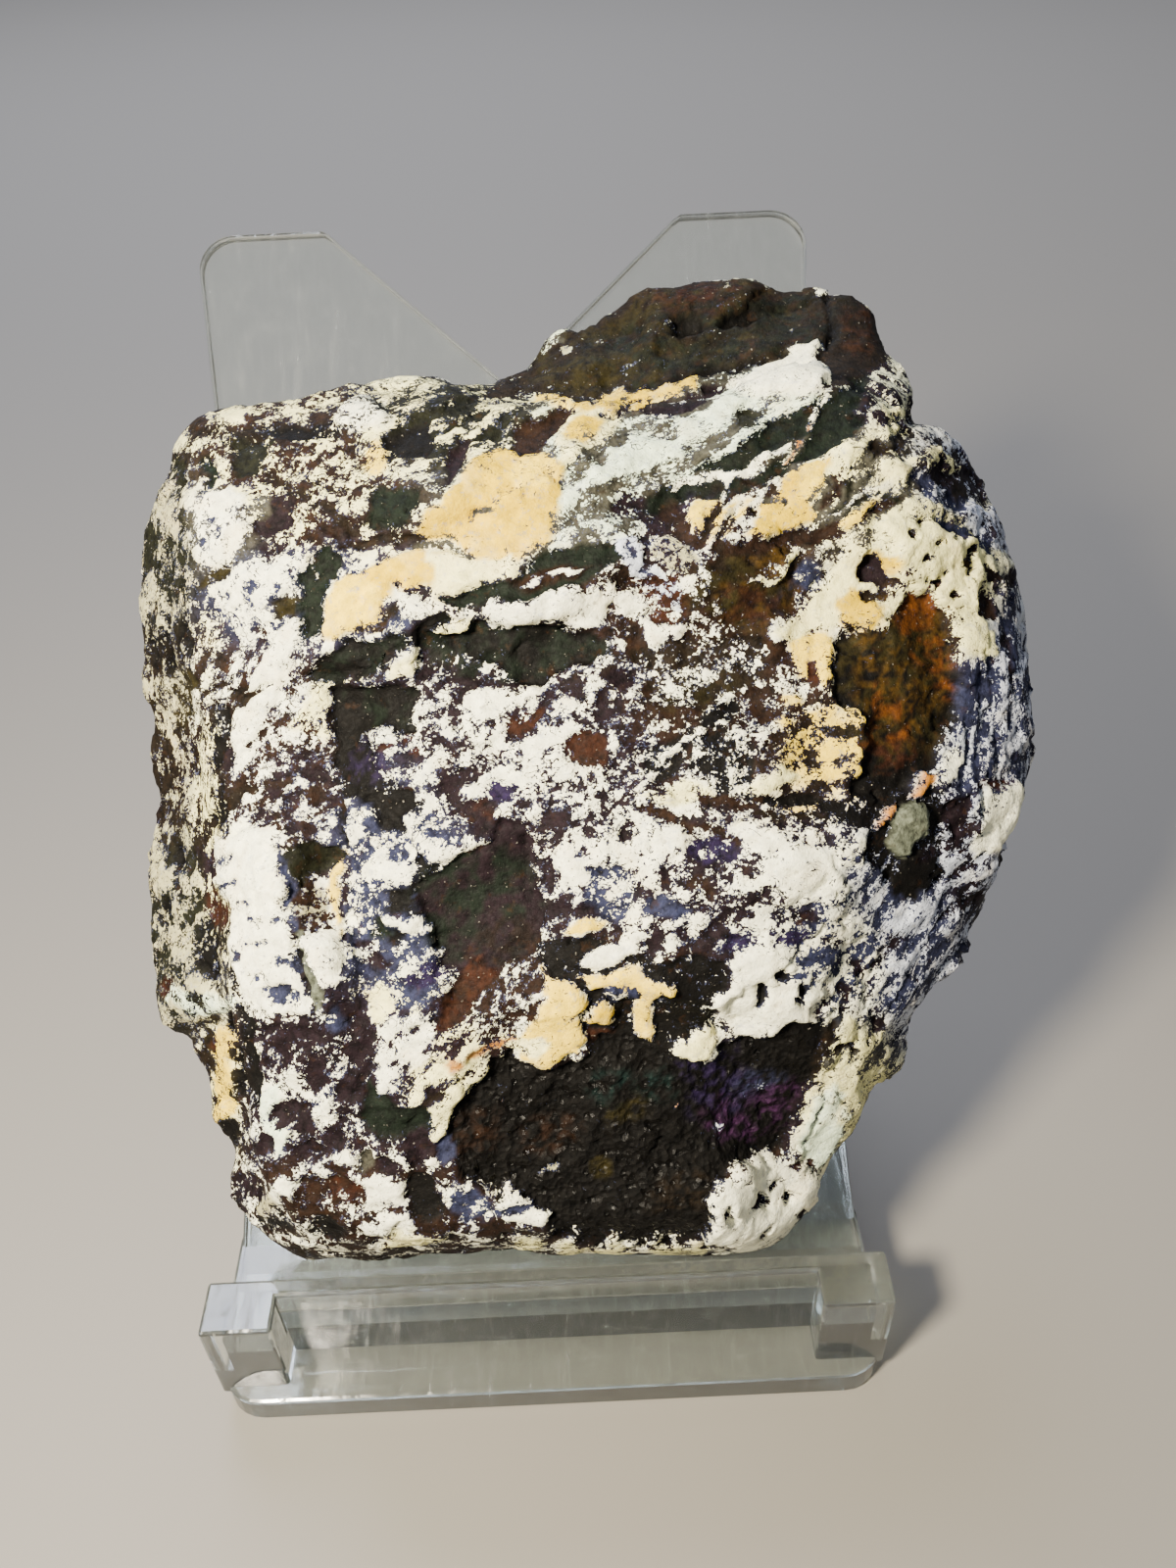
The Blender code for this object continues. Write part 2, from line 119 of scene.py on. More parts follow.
# %% Floor, lamps and sky
def lamp(name, at, aim, size, watts, colour):
    light = bpy.data.lights.new(name, "AREA")
    light.shape = "DISK"
    light.size = size
    light.energy = watts
    light.color = linear(colour)[:3]
    made = bpy.data.objects.new(name, light)
    made.location = at
    made.rotation_euler = (Vector(aim) - Vector(at)).to_track_quat("-Z", "Y").to_euler()
    bpy.context.scene.collection.objects.link(made)
    return made


plane = bmesh.new()
bmesh.ops.create_grid(plane, x_segments=2, y_segments=2, size=3.0)
floor_mesh = bpy.data.meshes.new("floor")
plane.to_mesh(floor_mesh)
plane.free()
floor = bpy.data.objects.new("floor", floor_mesh)
bpy.context.scene.collection.objects.link(floor)
paint, _, paint_shader = new_material("pale_painted_floor")
paint_shader.inputs["Base Color"].default_value = linear("7B776F")
paint_shader.inputs["Roughness"].default_value = 0.6
floor.data.materials.append(paint)
floor.data.transform(Matrix.Translation((0, 0, -0.05 * MM)))

sky = bpy.data.worlds.new("sky")
bpy.context.scene.world = sky
sky.use_nodes = True
sky.node_tree.nodes["Background"].inputs["Color"].default_value = linear("D9DEEA")
sky.node_tree.nodes["Background"].inputs["Strength"].default_value = 0.42
middle = (0.006, 0.0, 0.045)
lamp("key_lamp", (-0.075, -0.115, 0.175), middle, 0.036, 1.75, "FFF3DC")
lamp("overhead_lamp", (-0.15, 0.60, 0.80), (0.0, 0.55, 0.0), 0.60, 14.0, "E6ECFF")
print("floor and two lamps")

# %% [markdown]
# ## The specimen's mesh
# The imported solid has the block's outline, ledges and hollows in some thousands of facets. A voxel
# remesh turns a copy of it into even small quads, smoothing takes the facets off, and the side that
# the photograph shows is divided once more, so that the crust can stand up from the rock there.

# %% Copy and refine the block
VOXEL = 0.75
SMOOTH_PASSES = 4


def stone_copy(node):
    """The CAD node's mesh as a new object with shared corners."""
    shape = bmesh.new()
    shape.from_mesh(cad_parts[node].data)
    bmesh.ops.remove_doubles(shape, verts=shape.verts, dist=1e-7)
    mesh = bpy.data.meshes.new("crandallite_block")
    shape.to_mesh(mesh)
    shape.free()
    made = bpy.data.objects.new("crandallite_block", mesh)
    bpy.context.scene.collection.objects.link(made)
    return made


def evenly_remeshed(piece, voxel):
    remesh = piece.modifiers.new("even", "REMESH")
    remesh.mode = "VOXEL"
    remesh.voxel_size = voxel * MM
    bpy.context.view_layer.update()
    graph = bpy.context.evaluated_depsgraph_get()
    piece.data = bpy.data.meshes.new_from_object(piece.evaluated_get(graph))
    piece.modifiers.clear()


def faces_camera(normal, place):
    return normal.dot((Vector(CAMERA_AT) - place).normalized())


block = stone_copy("crandallite_specimen")
evenly_remeshed(block, VOXEL)
shape = bmesh.new()
shape.from_mesh(block.data)
for _ in range(SMOOTH_PASSES):
    bmesh.ops.smooth_vert(shape, verts=shape.verts, factor=0.5, use_axis_x=True, use_axis_y=True,
                          use_axis_z=True)
shape.normal_update()
shown = {f for f in shape.faces if faces_camera(f.normal, f.calc_center_median()) > 0.12}
inner_edges = [e for e in shape.edges if all(f in shown for f in e.link_faces)]
bmesh.ops.subdivide_edges(shape, edges=inner_edges, cuts=1, use_grid_fill=True, smooth=0.6)
bmesh.ops.triangulate(shape, faces=[f for f in shape.faces if len(f.verts) > 4])
shape.to_mesh(block.data)
shape.free()
print("block:", len(block.data.vertices), "points,",
      sum(len(p.vertices) - 2 for p in block.data.polygons), "triangles")

# %% [markdown]
# ## Grain
# Rock looks like rock because nothing repeats. One small function makes smooth random grain of any
# size in millimetres, for many points at once, and all uneven edges and lumps below come from it.

# %% Random grain
def lattice_value(corner, salt):
    """A fixed random number from -1 to 1 for each whole-number corner."""
    mix = (corner[:, 0] * 73856093) ^ (corner[:, 1] * 19349663) ^ (corner[:, 2] * 83492791)
    mix = (mix ^ (salt * 2654435)) & 0xFFFFFFFF
    mix = ((mix ^ (mix >> 15)) * 739982445) & 0xFFFFFFFF
    mix = ((mix ^ (mix >> 12)) * 695872825) & 0xFFFFFFFF
    return ((mix ^ (mix >> 15)) & 0xFFFF) / 32767.5 - 1.0


def grain(points, size, seed=0):
    """Smooth noise from about -1 to 1 with lumps of the given size."""
    place = points / size + 31.7 * (seed + 1)
    base = np.floor(place).astype(np.int64)
    part = place - base
    ease = part**3 * (part * (part * 6 - 15) + 10)
    total = np.zeros(len(points))
    for step in np.ndindex(2, 2, 2):
        offset = np.array(step)
        corner = base + offset
        slope = [lattice_value(corner, seed * 3 + axis) for axis in range(3)]
        weight = np.prod(np.where(offset == 1, ease, 1 - ease), axis=1)
        total += weight * sum(slope[a] * (part[:, a] - offset[a]) for a in range(3))
    return total * 1.7


def layered(points, size, seed=0, layers=3, gain=0.55):
    """Grain on grain: each layer is half the size and weaker."""
    total = np.zeros(len(points))
    for layer in range(layers):
        total += grain(points, size / 2**layer, seed + 7 * layer) * gain**layer
    return total


def smooth_step(value, low, high):
    share = np.clip((value - low) / (high - low), 0.0, 1.0)
    return share * share * (3.0 - 2.0 * share)


count = len(block.data.vertices)
places = np.empty(count * 3)
block.data.vertices.foreach_get("co", places)
places = places.reshape(-1, 3)
normals = np.empty(count * 3)
block.data.vertex_normals.foreach_get("vector", normals)
normals = normals.reshape(-1, 3)
spot = places / MM
seen = seen_at(places)
to_camera = np.array(CAMERA_AT) - places
to_camera /= np.linalg.norm(to_camera, axis=1)[:, None]
facing = np.einsum("ij,ij->i", normals, to_camera)
print("points seen by the camera:", int((facing > 0).sum()))

# %% [markdown]
# ## Colours of rock and crust
# The crust is white where it is thick and pure, mint or bluish where it is thin, and cream to peach
# where iron stains it. On the flank that turns away from the light its bluish grey is partly painted
# shade. The rock under it is purple-brown, olive or almost black, with rusty spots.

# %% Palette
CRUST = {
    "white": "F9F8D8",
    "mint": "DEEDCC",
    "ivory": "F3ECA6",
    "cream": "EECC38",
    "peach": "D8B400",
    "tan": "B87828",
    "ash": "A9A47C",
    # bluish grey: on the right flank, which turns away from the light, it is partly painted shade
    "haze": "C6CCD8",
    "back": "E4E1D0",
}
ROCK = {
    "brown": "1C110A",
    "plum": "150D11",
    "olive": "14150C",
    "green": "0E140E",
    "black": "070605",
    "rust": "28140A",
    "orange": "4C2A0C",
    "umber": "161009",
    "grey": "3C3B32",
    "slate": "23263A",
    "violet": "1C142C",
    "teal": "0C1A18",
    "sage": "5A5F50",
    "moss": "1F1B0A",
    "ochre": "35260A",
    "mauve": "2C162E",
}
CRUST_TINT = {name: np.array(linear(value)[:3]) for name, value in CRUST.items()}
ROCK_TINT = {name: np.array(linear(value)[:3]) for name, value in ROCK.items()}

# %% [markdown]
# ## Mottled ground
# Most of the face is a broken film of crust. Each zone has a middle and half sizes in the frame, how
# much crust it has (0 is half covered), the size of its flecks, how far they are drawn out and in
# which direction up from the right, and its colours. Neighbouring zones melt into each other.

# %% Zones
# middle, half width, half height, cover, fleck in mm, stretch, direction in degrees, rock, crust
ZONES = [
    ((530, 765), 110, 80, 0.08, 1.5, 1.3, 30, "plum", "white"),
    ((745, 720), 105, 85, -0.24, 1.3, 1.3, 10, "brown", "white"),
    ((700, 890), 130, 80, 0.13, 1.7, 1.4, 15, "plum", "white"),
    ((600, 880), 55, 70, -0.06, 0.9, 1.5, 70, "plum", "white"),
    ((270, 490), 80, 60, -0.06, 1.3, 1.8, 25, "brown", "ivory"),
    ((225, 530), 40, 50, 0.12, 1.3, 1.2, 60, "grey", "white"),
    ((275, 610), 60, 45, 0.24, 1.2, 1.2, 30, "slate", "white"),
    ((250, 720), 70, 60, 0.08, 1.4, 3.0, 60, "brown", "white"),
    ((280, 800), 60, 60, -0.03, 1.5, 1.4, 40, "brown", "white"),
    ((400, 900), 60, 90, -0.04, 1.4, 1.8, 50, "slate", "white"),
    ((320, 930), 35, 50, 0.0, 0.9, 1.2, 0, "brown", "white"),
    ((330, 1100), 100, 80, -0.20, 1.4, 2.0, 60, "plum", "white"),
    ((290, 1060), 50, 40, -0.08, 1.2, 1.5, 50, "plum", "white"),
    ((330, 1225), 120, 40, -0.22, 1.8, 1.3, 0, "brown", "white"),
    ((440, 1090), 50, 60, 0.05, 1.4, 3.0, 50, "plum", "ivory"),
    # these zones lie on the right flank: the bluish-grey haze of their crust is partly painted shade
    ((930, 960), 70, 90, 0.16, 1.1, 3.2, 58, "slate", "haze"),
    ((870, 980), 60, 60, 0.18, 0.9, 1.8, 60, "slate", "white"),
    ((1020, 720), 45, 150, 0.02, 1.2, 4.0, 84, "slate", "haze"),
    ((975, 600), 60, 90, 0.42, 1.6, 1.3, 60, "brown", "ivory"),
    ((990, 880), 50, 60, 0.10, 1.2, 4.5, 35, "plum", "haze"),
    ((170, 560), 28, 100, -0.05, 1.2, 2.6, 75, "olive", "ash"),
    ((170, 750), 32, 130, -0.04, 1.3, 4.0, 80, "umber", "ash"),
    ((185, 940), 36, 90, 0.0, 1.2, 3.4, 72, "olive", "ash"),
    ((215, 800), 18, 160, -0.02, 1.2, 4.0, 84, "umber", "ivory"),
    ((470, 435), 70, 26, -0.10, 1.3, 3.4, 24, "olive", "ivory"),
    ((650, 450), 110, 40, 0.04, 1.2, 4.0, 22, "grey", "mint"),
    ((600, 520), 60, 26, 0.10, 0.9, 2.0, 12, "grey", "mint"),
    ((900, 500), 60, 40, 0.18, 1.3, 3.6, 42, "grey", "ivory"),
    ((960, 490), 45, 36, 0.02, 1.2, 2.6, 45, "plum", "haze"),
    ((830, 760), 60, 45, 0.0, 1.1, 2.2, 8, "umber", "cream"),
    ((730, 530), 60, 40, -0.10, 1.1, 2.6, 50, "brown", "white"),
    ((520, 1000), 40, 60, -0.06, 1.0, 4.0, 62, "brown", "white"),
    ((620, 990), 80, 40, -0.02, 1.3, 1.4, 10, "brown", "white"),
    ((770, 1235), 60, 60, 0.30, 1.7, 1.2, 0, "brown", "white"),
    ((870, 1110), 40, 70, 0.32, 1.3, 3.0, 60, "grey", "ivory"),
    ((225, 1110), 22, 70, 0.0, 2.0, 3.0, 88, "moss", "ivory"),
    ((700, 600), 60, 50, -0.20, 1.2, 1.5, 30, "brown", "white"),
]


# the three directions, in degrees, in which fine streaks run
STREAKS = np.array([20.0, 55.0, 84.0])


def zone_field():
    """Cover, flecks, streaks, rock and crust colour of the mottled ground at every point."""
    cover, flecks = np.zeros(count), np.zeros(count)
    rock, crust, streaks = np.zeros((count, 3)), np.zeros((count, 3)), np.zeros((count, 3))
    total = np.full(count, 1e-9)
    for number, zone in enumerate(ZONES):
        middle, half_x, half_y, amount, fleck, stretch, direction, rock_name, crust_name = zone
        away = ((seen[:, 0] - middle[0]) / half_x) ** 2 + ((seen[:, 1] - middle[1]) / half_y) ** 2
        weight = 1.0 / (0.05 + away) ** 3
        turn = math.radians(direction)
        along = seen[:, 0] * math.cos(turn) - seen[:, 1] * math.sin(turn)
        across = seen[:, 0] * math.sin(turn) + seen[:, 1] * math.cos(turn)
        flat = np.stack([along / FACE_PIXELS / stretch, across / FACE_PIXELS, spot[:, 2] * 0.35], axis=1)
        bend = 0.35 * grain(spot, 3.0, number)[:, None]
        pattern = layered(flat + bend, fleck, number, 3, 0.62)
        cover += weight * amount
        flecks += weight * pattern
        drawn = np.clip((stretch - 1.0) / 2.2, 0, 1) * np.maximum(0, 1 - np.abs(STREAKS - direction) / 32)
        streaks += weight[:, None] * drawn
        rock += weight[:, None] * ROCK_TINT[rock_name]
        crust += weight[:, None] * CRUST_TINT[crust_name]
        total += weight
    wide = total[:, None]
    return cover / total, flecks / total, streaks / wide, rock / wide, crust / wide


cover, flecks, streaks, rock, crust = zone_field()
print("mottled ground: crust on", round(100 * float((cover + flecks > 0).mean())), "% of the points")

# %% [markdown]
# ## The back and the underside
# The photograph doesn't show them. They are finished as the same rock, freshly broken: mostly bare,
# with a few large remains of crust.

# %% Back and underside
hidden = 1.0 - smooth_step(facing, -0.12, 0.10)
back_flecks = layered(spot, 7.0, 91, 4, 0.6)
back_tone = smooth_step(layered(spot, 5.0, 93), -0.4, 0.5)[:, None]
back_rock = ROCK_TINT["umber"] * back_tone + ROCK_TINT["plum"] * (1 - back_tone)
cover = cover * (1 - hidden) - 0.34 * hidden
flecks = flecks * (1 - hidden) + back_flecks * hidden
streaks *= 1 - hidden[:, None]
rock = rock * (1 - hidden[:, None]) + back_rock * hidden[:, None]
crust = crust * (1 - hidden[:, None]) + CRUST_TINT["back"] * hidden[:, None]
print("hidden share:", round(float(hidden.mean()), 2))

# %% [markdown]
# ## Marks
# Over the mottled ground come the marks that give this specimen its face: beds of bare rock, solid
# panels of crust, lenses, cracks and streaks. A mark is an outline, a blob or a line in the frame,
# and its edge wanders a little with the grain. It says what lies there, its colour, how fully
# (1 is solid, near 0 is broken into flecks), and how many millimetres it stands out or is sunk.

# %% Outlines, blobs and lines
wander = np.stack([grain(spot, 3.0, 201), grain(spot, 3.0, 202)], axis=1) * 7.0
wander += np.stack([grain(spot, 1.1, 203), grain(spot, 1.1, 204)], axis=1) * 5.0
looked_at = seen + wander


# marks reach no further than this many pixels past their own box
MARGIN = 30.0
# what a mark says of a point that is nowhere near it
FAR_OUTSIDE = -99.0


def nearby(low, high):
    """Numbers of the points that are seen in or close to a box of the frame."""
    inside = (looked_at > np.array(low) - MARGIN) & (looked_at < np.array(high) + MARGIN)
    return np.flatnonzero(inside.all(axis=1))


def in_outline(corners):
    """Distance in pixels from a closed outline, positive inside it."""
    ring = np.array(corners, float)
    near = nearby(ring.min(axis=0), ring.max(axis=0))
    nearest = np.full(len(near), -FAR_OUTSIDE)
    inside = np.zeros(len(near), bool)
    for start, end in zip(ring, np.roll(ring, -1, axis=0)):
        side = end - start
        away = looked_at[near] - start
        share = np.clip(away @ side / (side @ side), 0, 1)
        nearest = np.minimum(nearest, np.hypot(*(away - share[:, None] * side).T))
        crosses = (start[1] > looked_at[near, 1]) != (end[1] > looked_at[near, 1])
        level = start[0] + away[:, 1] * side[0] / (side[1] if side[1] else 1.0)
        inside ^= crosses & (looked_at[near, 0] < level)
    reach = np.full(count, FAR_OUTSIDE)
    reach[near] = np.where(inside, nearest, -nearest)
    return reach


def in_blob(x, y, half_long, half_short, direction=0):
    """Distance in pixels inside an oval whose long way points up from the right by direction."""
    turn = math.radians(direction)
    away = looked_at - (x, y)
    along = away[:, 0] * math.cos(turn) - away[:, 1] * math.sin(turn)
    across = away[:, 0] * math.sin(turn) + away[:, 1] * math.cos(turn)
    return (1 - np.hypot(along / half_long, across / half_short)) * half_short


def on_line(width, *stops):
    """Distance inside a band of the given width that thins towards its two ends."""
    near = nearby(np.min(stops, axis=0), np.max(stops, axis=0))
    best = np.full(len(near), FAR_OUTSIDE)
    steps = len(stops) - 1
    for number in range(steps):
        start, end = np.array(stops[number], float), np.array(stops[number + 1], float)
        side = end - start
        away = looked_at[near] - start
        share = np.clip(away @ side / (side @ side), 0, 1)
        done = (number + share) / steps
        half = width / 2 * (0.35 + 0.65 * np.sin(math.pi * done) ** 0.6)
        best = np.maximum(best, half - np.hypot(*(away - share[:, None] * side).T))
    reach = np.full(count, FAR_OUTSIDE)
    reach[near] = best
    return reach


# how much of a mark's rise shows, and how far a solid mark quiets the ragged edge inside it
RISE_SHOWN = 0.75
QUIET = 0.62
height = np.zeros(count)
marked = np.zeros(count)
speckle = 0.45 + 0.55 * smooth_step(layered(spot, 4.5, 221), -0.35, 0.25)


def mark(kind, tint, amount, rise, reach, edge=5.0):
    """Lays one mark over what is there: kind is rock or crust, rise is in millimetres."""
    near = np.flatnonzero((reach > -edge) & (hidden < 1))
    shown = 1 - hidden[near]
    share = np.clip(0.5 + reach[near] / (2 * edge), 0, 1) * shown
    wide = smooth_step(share, 0.1, 0.6)[:, None]
    sign, tints, table = (-1, rock, ROCK_TINT) if kind == "rock" else (1, crust, CRUST_TINT)
    cover[near] = cover[near] * (1 - share) + sign * amount * share
    tints[near] = tints[near] * (1 - wide) + table[tint] * wide
    step = smooth_step(share, 0.25, 0.75)
    height[near] = height[near] * (1 - step) + RISE_SHOWN * rise * step
    deep = smooth_step(reach[near], 0.0, 12.0) * shown
    speckle[near] = speckle[near] * (1 - deep) + (1.0 - QUIET * min(1.0, amount)) * deep
    marked[near] = np.maximum(marked[near], share)


def so_far(name):
    share = float((marked > 0.5).sum() / (hidden < 0.5).sum())
    print(name, "laid,", round(100 * share), "% of the face marked so far")


def bare(tint, reach, amount=0.85, rise=-0.4, edge=5.0):
    mark("rock", tint, amount, rise, reach, edge)


def crusted(tint, reach, amount=0.85, rise=0.3, edge=5.0):
    mark("crust", tint, amount, rise, reach, edge)


def stain(tint, strength, reach, edge=6.0, grain_size=1.1):
    """Colours the rock in broken spots and leaves its crust as it is."""
    near = np.flatnonzero((reach > -edge) & (hidden < 1))
    spots = smooth_step(layered(spot[near], grain_size, len(tint) * 5 + 230), -0.25, 0.3)
    share = (smooth_step(reach[near], -edge, edge) * spots * strength * (1 - hidden[near]))[:, None]
    rock[near] = rock[near] * (1 - share) + ROCK_TINT[tint] * share


# %% [markdown]
# A slab of bare umber and olive rock stands up behind the face. Two small hollows and a crack are
# sunk into it, and the crust starts in a sharp line below. A groove along its lower edge is black
# with painted shadow.

# %% The slab at the top
def slab():
    bare("umber", in_outline([
        (485, 408), (500, 398), (545, 368), (575, 345), (615, 318), (655, 290), (720, 272), (800, 292),
        (870, 283), (905, 330), (905, 370), (930, 410), (925, 460), (880, 385), (850, 400), (836, 352),
        (815, 357), (790, 366), (740, 379), (700, 388), (640, 408), (600, 417), (560, 404), (510, 402)]),
        0.8, 0)
    stain("moss", 0.9, in_blob(680, 335, 150, 52, 15), 10, 2.2)
    stain("green", 0.8, in_blob(720, 350, 150, 40, 12), 10, 1.3)
    stain("moss", 0.9, in_blob(600, 384, 60, 22, 15), 8)
    stain("olive", 0.8, in_blob(740, 350, 90, 22, 8), 10)
    stain("rust", 0.7, in_blob(720, 300, 60, 18, 0), 8)
    stain("rust", 0.5, in_blob(875, 335, 18, 30, 0), 8)
    bare("moss", in_blob(603, 384, 22, 10, 15), 0.8, 0.2)
    bare("black", in_blob(697, 331, 15, 8, 20), 0.9, -1.4)
    bare("black", in_blob(757, 326, 24, 7, 15), 0.9, -1.3)
    bare("black", on_line(7, (846, 300), (850, 330), (843, 362)), 0.8, -0.8)
    # a sunk groove along the slab's lower edge, painted black as the shadow under that edge
    bare("black", on_line(7, (640, 404), (700, 386), (780, 368)), 0.8, -0.6)
    crusted("white", on_line(6, (836, 295), (856, 291)), 0.5, 0.1)
    for x, y in [(574, 359), (683, 331), (570, 352), (806, 338), (740, 296)]:
        crusted("ash", in_blob(x, y, 4, 3), 0.5, 0.1, 2)


slab()
so_far("slab")

# %% [markdown]
# Here thin beds of mint-white and peach crust run up to the right between grey and olive streaks,
# so most marks are lines and long lenses that point the same way.

# %% The streaky band under the slab
def upper_band():
    for shape in [[(402, 468), (430, 452), (470, 432), (502, 418)], [(405, 434), (440, 425), (482, 414)],
                  [(470, 446), (500, 436), (530, 420)], [(395, 450), (410, 446), (425, 442)]]:
        bare("olive", on_line(15, *shape), 0.75, -0.5)
    for shape in [[(424, 462), (470, 442), (512, 424)], [(400, 446), (432, 440), (470, 424)],
                  [(430, 478), (470, 462), (516, 448)], [(490, 410), (520, 412), (552, 408)]]:
        crusted("ivory", on_line(8, *shape), 0.5, 0.1)
    crusted("cream", on_line(11, (545, 408), (565, 411), (585, 415)), 0.6, 0.2)
    crusted("peach", on_line(17, (590, 418), (645, 407), (716, 392)), 0.75, 0.2)
    crusted("white", in_outline([
        (740, 395), (760, 385), (790, 372), (815, 362), (832, 353), (840, 372), (842, 396), (805, 405),
        (775, 408)]), 0.95, 0.9)
    stain("slate", 0.6, in_blob(828, 378, 12, 16), 5)
    bare("black", in_outline([(392, 444), (405, 433), (440, 430), (442, 462), (400, 472)]), 0.8, -0.8)
    bare("plum", on_line(13, (455, 490), (466, 468), (480, 448)), 0.8, -0.6)
    crusted("ivory", in_outline([
        (560, 432), (592, 424), (612, 416), (640, 420), (612, 452), (575, 470)]), 0.8, 0.2)
    crusted("peach", in_outline([(572, 446), (598, 424), (614, 430), (596, 452)]), 0.7, 0.2)
    crusted("peach", in_outline([
        (480, 470), (515, 462), (545, 462), (575, 470), (572, 500), (570, 540), (562, 556), (530, 568),
        (478, 568), (470, 556), (440, 545), (425, 540), (435, 525), (470, 495)]), 0.95, 0.3)
    crusted("cream", in_blob(545, 480, 22, 14, 15), 0.9, 0.3, 9)
    bare("grey", on_line(7, (474, 532), (488, 522), (504, 512)), 0.35, -0.2)
    bare("grey", on_line(6, (500, 507), (515, 501), (533, 495)), 0.35, -0.2)
    bare("brown", in_outline([
        (516, 456), (530, 437), (560, 425), (578, 415), (592, 422), (570, 440), (545, 460), (520, 464)]),
        0.9, -0.5, 3)
    crusted("ivory", in_outline([
        (430, 570), (480, 572), (530, 572), (522, 600), (470, 612), (440, 612)]), 0.8, 0.3)
    crusted("mint", in_outline([
        (606, 470), (630, 455), (700, 430), (745, 408), (766, 412), (742, 440), (705, 462), (668, 482),
        (630, 490), (600, 500), (575, 530), (575, 500)]), 0.95, 0.4)
    bare("plum", on_line(13, (616, 422), (655, 418), (700, 411), (740, 397)), 0.9, -0.7, 4)
    crusted("white", on_line(4, (630, 424), (668, 420), (702, 413)), 0.5, -0.2, 2)
    bare("grey", on_line(8, (632, 436), (676, 436), (722, 420)), 0.4, -0.3)
    for x, y, a, b, turn in [(672, 442, 24, 8, 8), (608, 464, 9, 10, 60), (588, 486, 15, 8, 35),
                             (566, 481, 11, 4, 0), (722, 447, 24, 7, 30), (690, 474, 18, 6, 30),
                             (636, 494, 26, 7, 6), (600, 521, 26, 8, 10), (590, 537, 20, 7, 5)]:
        bare("grey", in_blob(x, y, a, b, turn), 0.22, -0.2)
    bare("olive", in_blob(763, 425, 13, 9, 20), 0.5, -0.3)
    bare("plum", in_outline([(625, 505), (645, 500), (665, 510), (655, 528), (620, 530)]), 0.3, -0.4)


upper_band()
so_far("upper band")

# %% [markdown]
# Two long dark lenses lie in the white band. Thin white veins cut between them.

# %% The dark green lenses at the upper right
def green_lenses():
    bare("green", in_outline([
        (704, 480), (740, 456), (780, 425), (835, 400), (850, 402), (840, 430), (812, 448), (780, 472),
        (740, 486)]), 0.95, -0.7, 3.5)
    bare("green", in_outline([
        (650, 528), (668, 505), (690, 494), (720, 490), (760, 490), (800, 470), (815, 470), (832, 430),
        (852, 402), (880, 385), (892, 400), (892, 432), (860, 450), (830, 470), (795, 484), (760, 503),
        (700, 508), (672, 526)]), 0.95, -0.6, 3.5)
    stain("olive", 0.9, in_blob(800, 436, 50, 16, 30), 9)
    stain("brown", 0.8, in_blob(760, 496, 40, 8, 12), 6)
    crusted("white", on_line(
        10, (690, 496), (722, 489), (752, 488), (780, 470), (814, 446)), 0.9, -0.1, 3)
    crusted("mint", on_line(9, (690, 486), (722, 470), (750, 450), (782, 428), (830, 402)), 0.8, -0.1, 3)
    crusted("white", on_line(8, (828, 432), (836, 410), (852, 393)), 0.9, -0.1, 3)
    crusted("white", on_line(8, (733, 492), (738, 505), (742, 515)), 0.7, -0.1, 3)
    crusted("tan", on_line(5, (808, 476), (818, 450), (829, 430)), 0.25, -0.4, 3)
    bare("plum", in_blob(905, 408, 22, 34, 0), 0.02, 0)
    crusted("ivory", in_blob(912, 424, 6, 12, 75), 0.6, 0.2)
    crusted("ivory", in_outline([
        (838, 470), (862, 452), (882, 448), (896, 458), (880, 468), (850, 474)]), 0.6, 0.3)
    crusted("ivory", on_line(8, (888, 448), (905, 441), (922, 438)), 0.6, 0.1)
    bare("umber", in_blob(906, 460, 13, 8, 10), 0.5, -0.4)


green_lenses()
so_far("green lenses")

# %% [markdown]
# Brown lenses and thin dark creases break the white here, and a cream and a peach bed cross to the
# right.

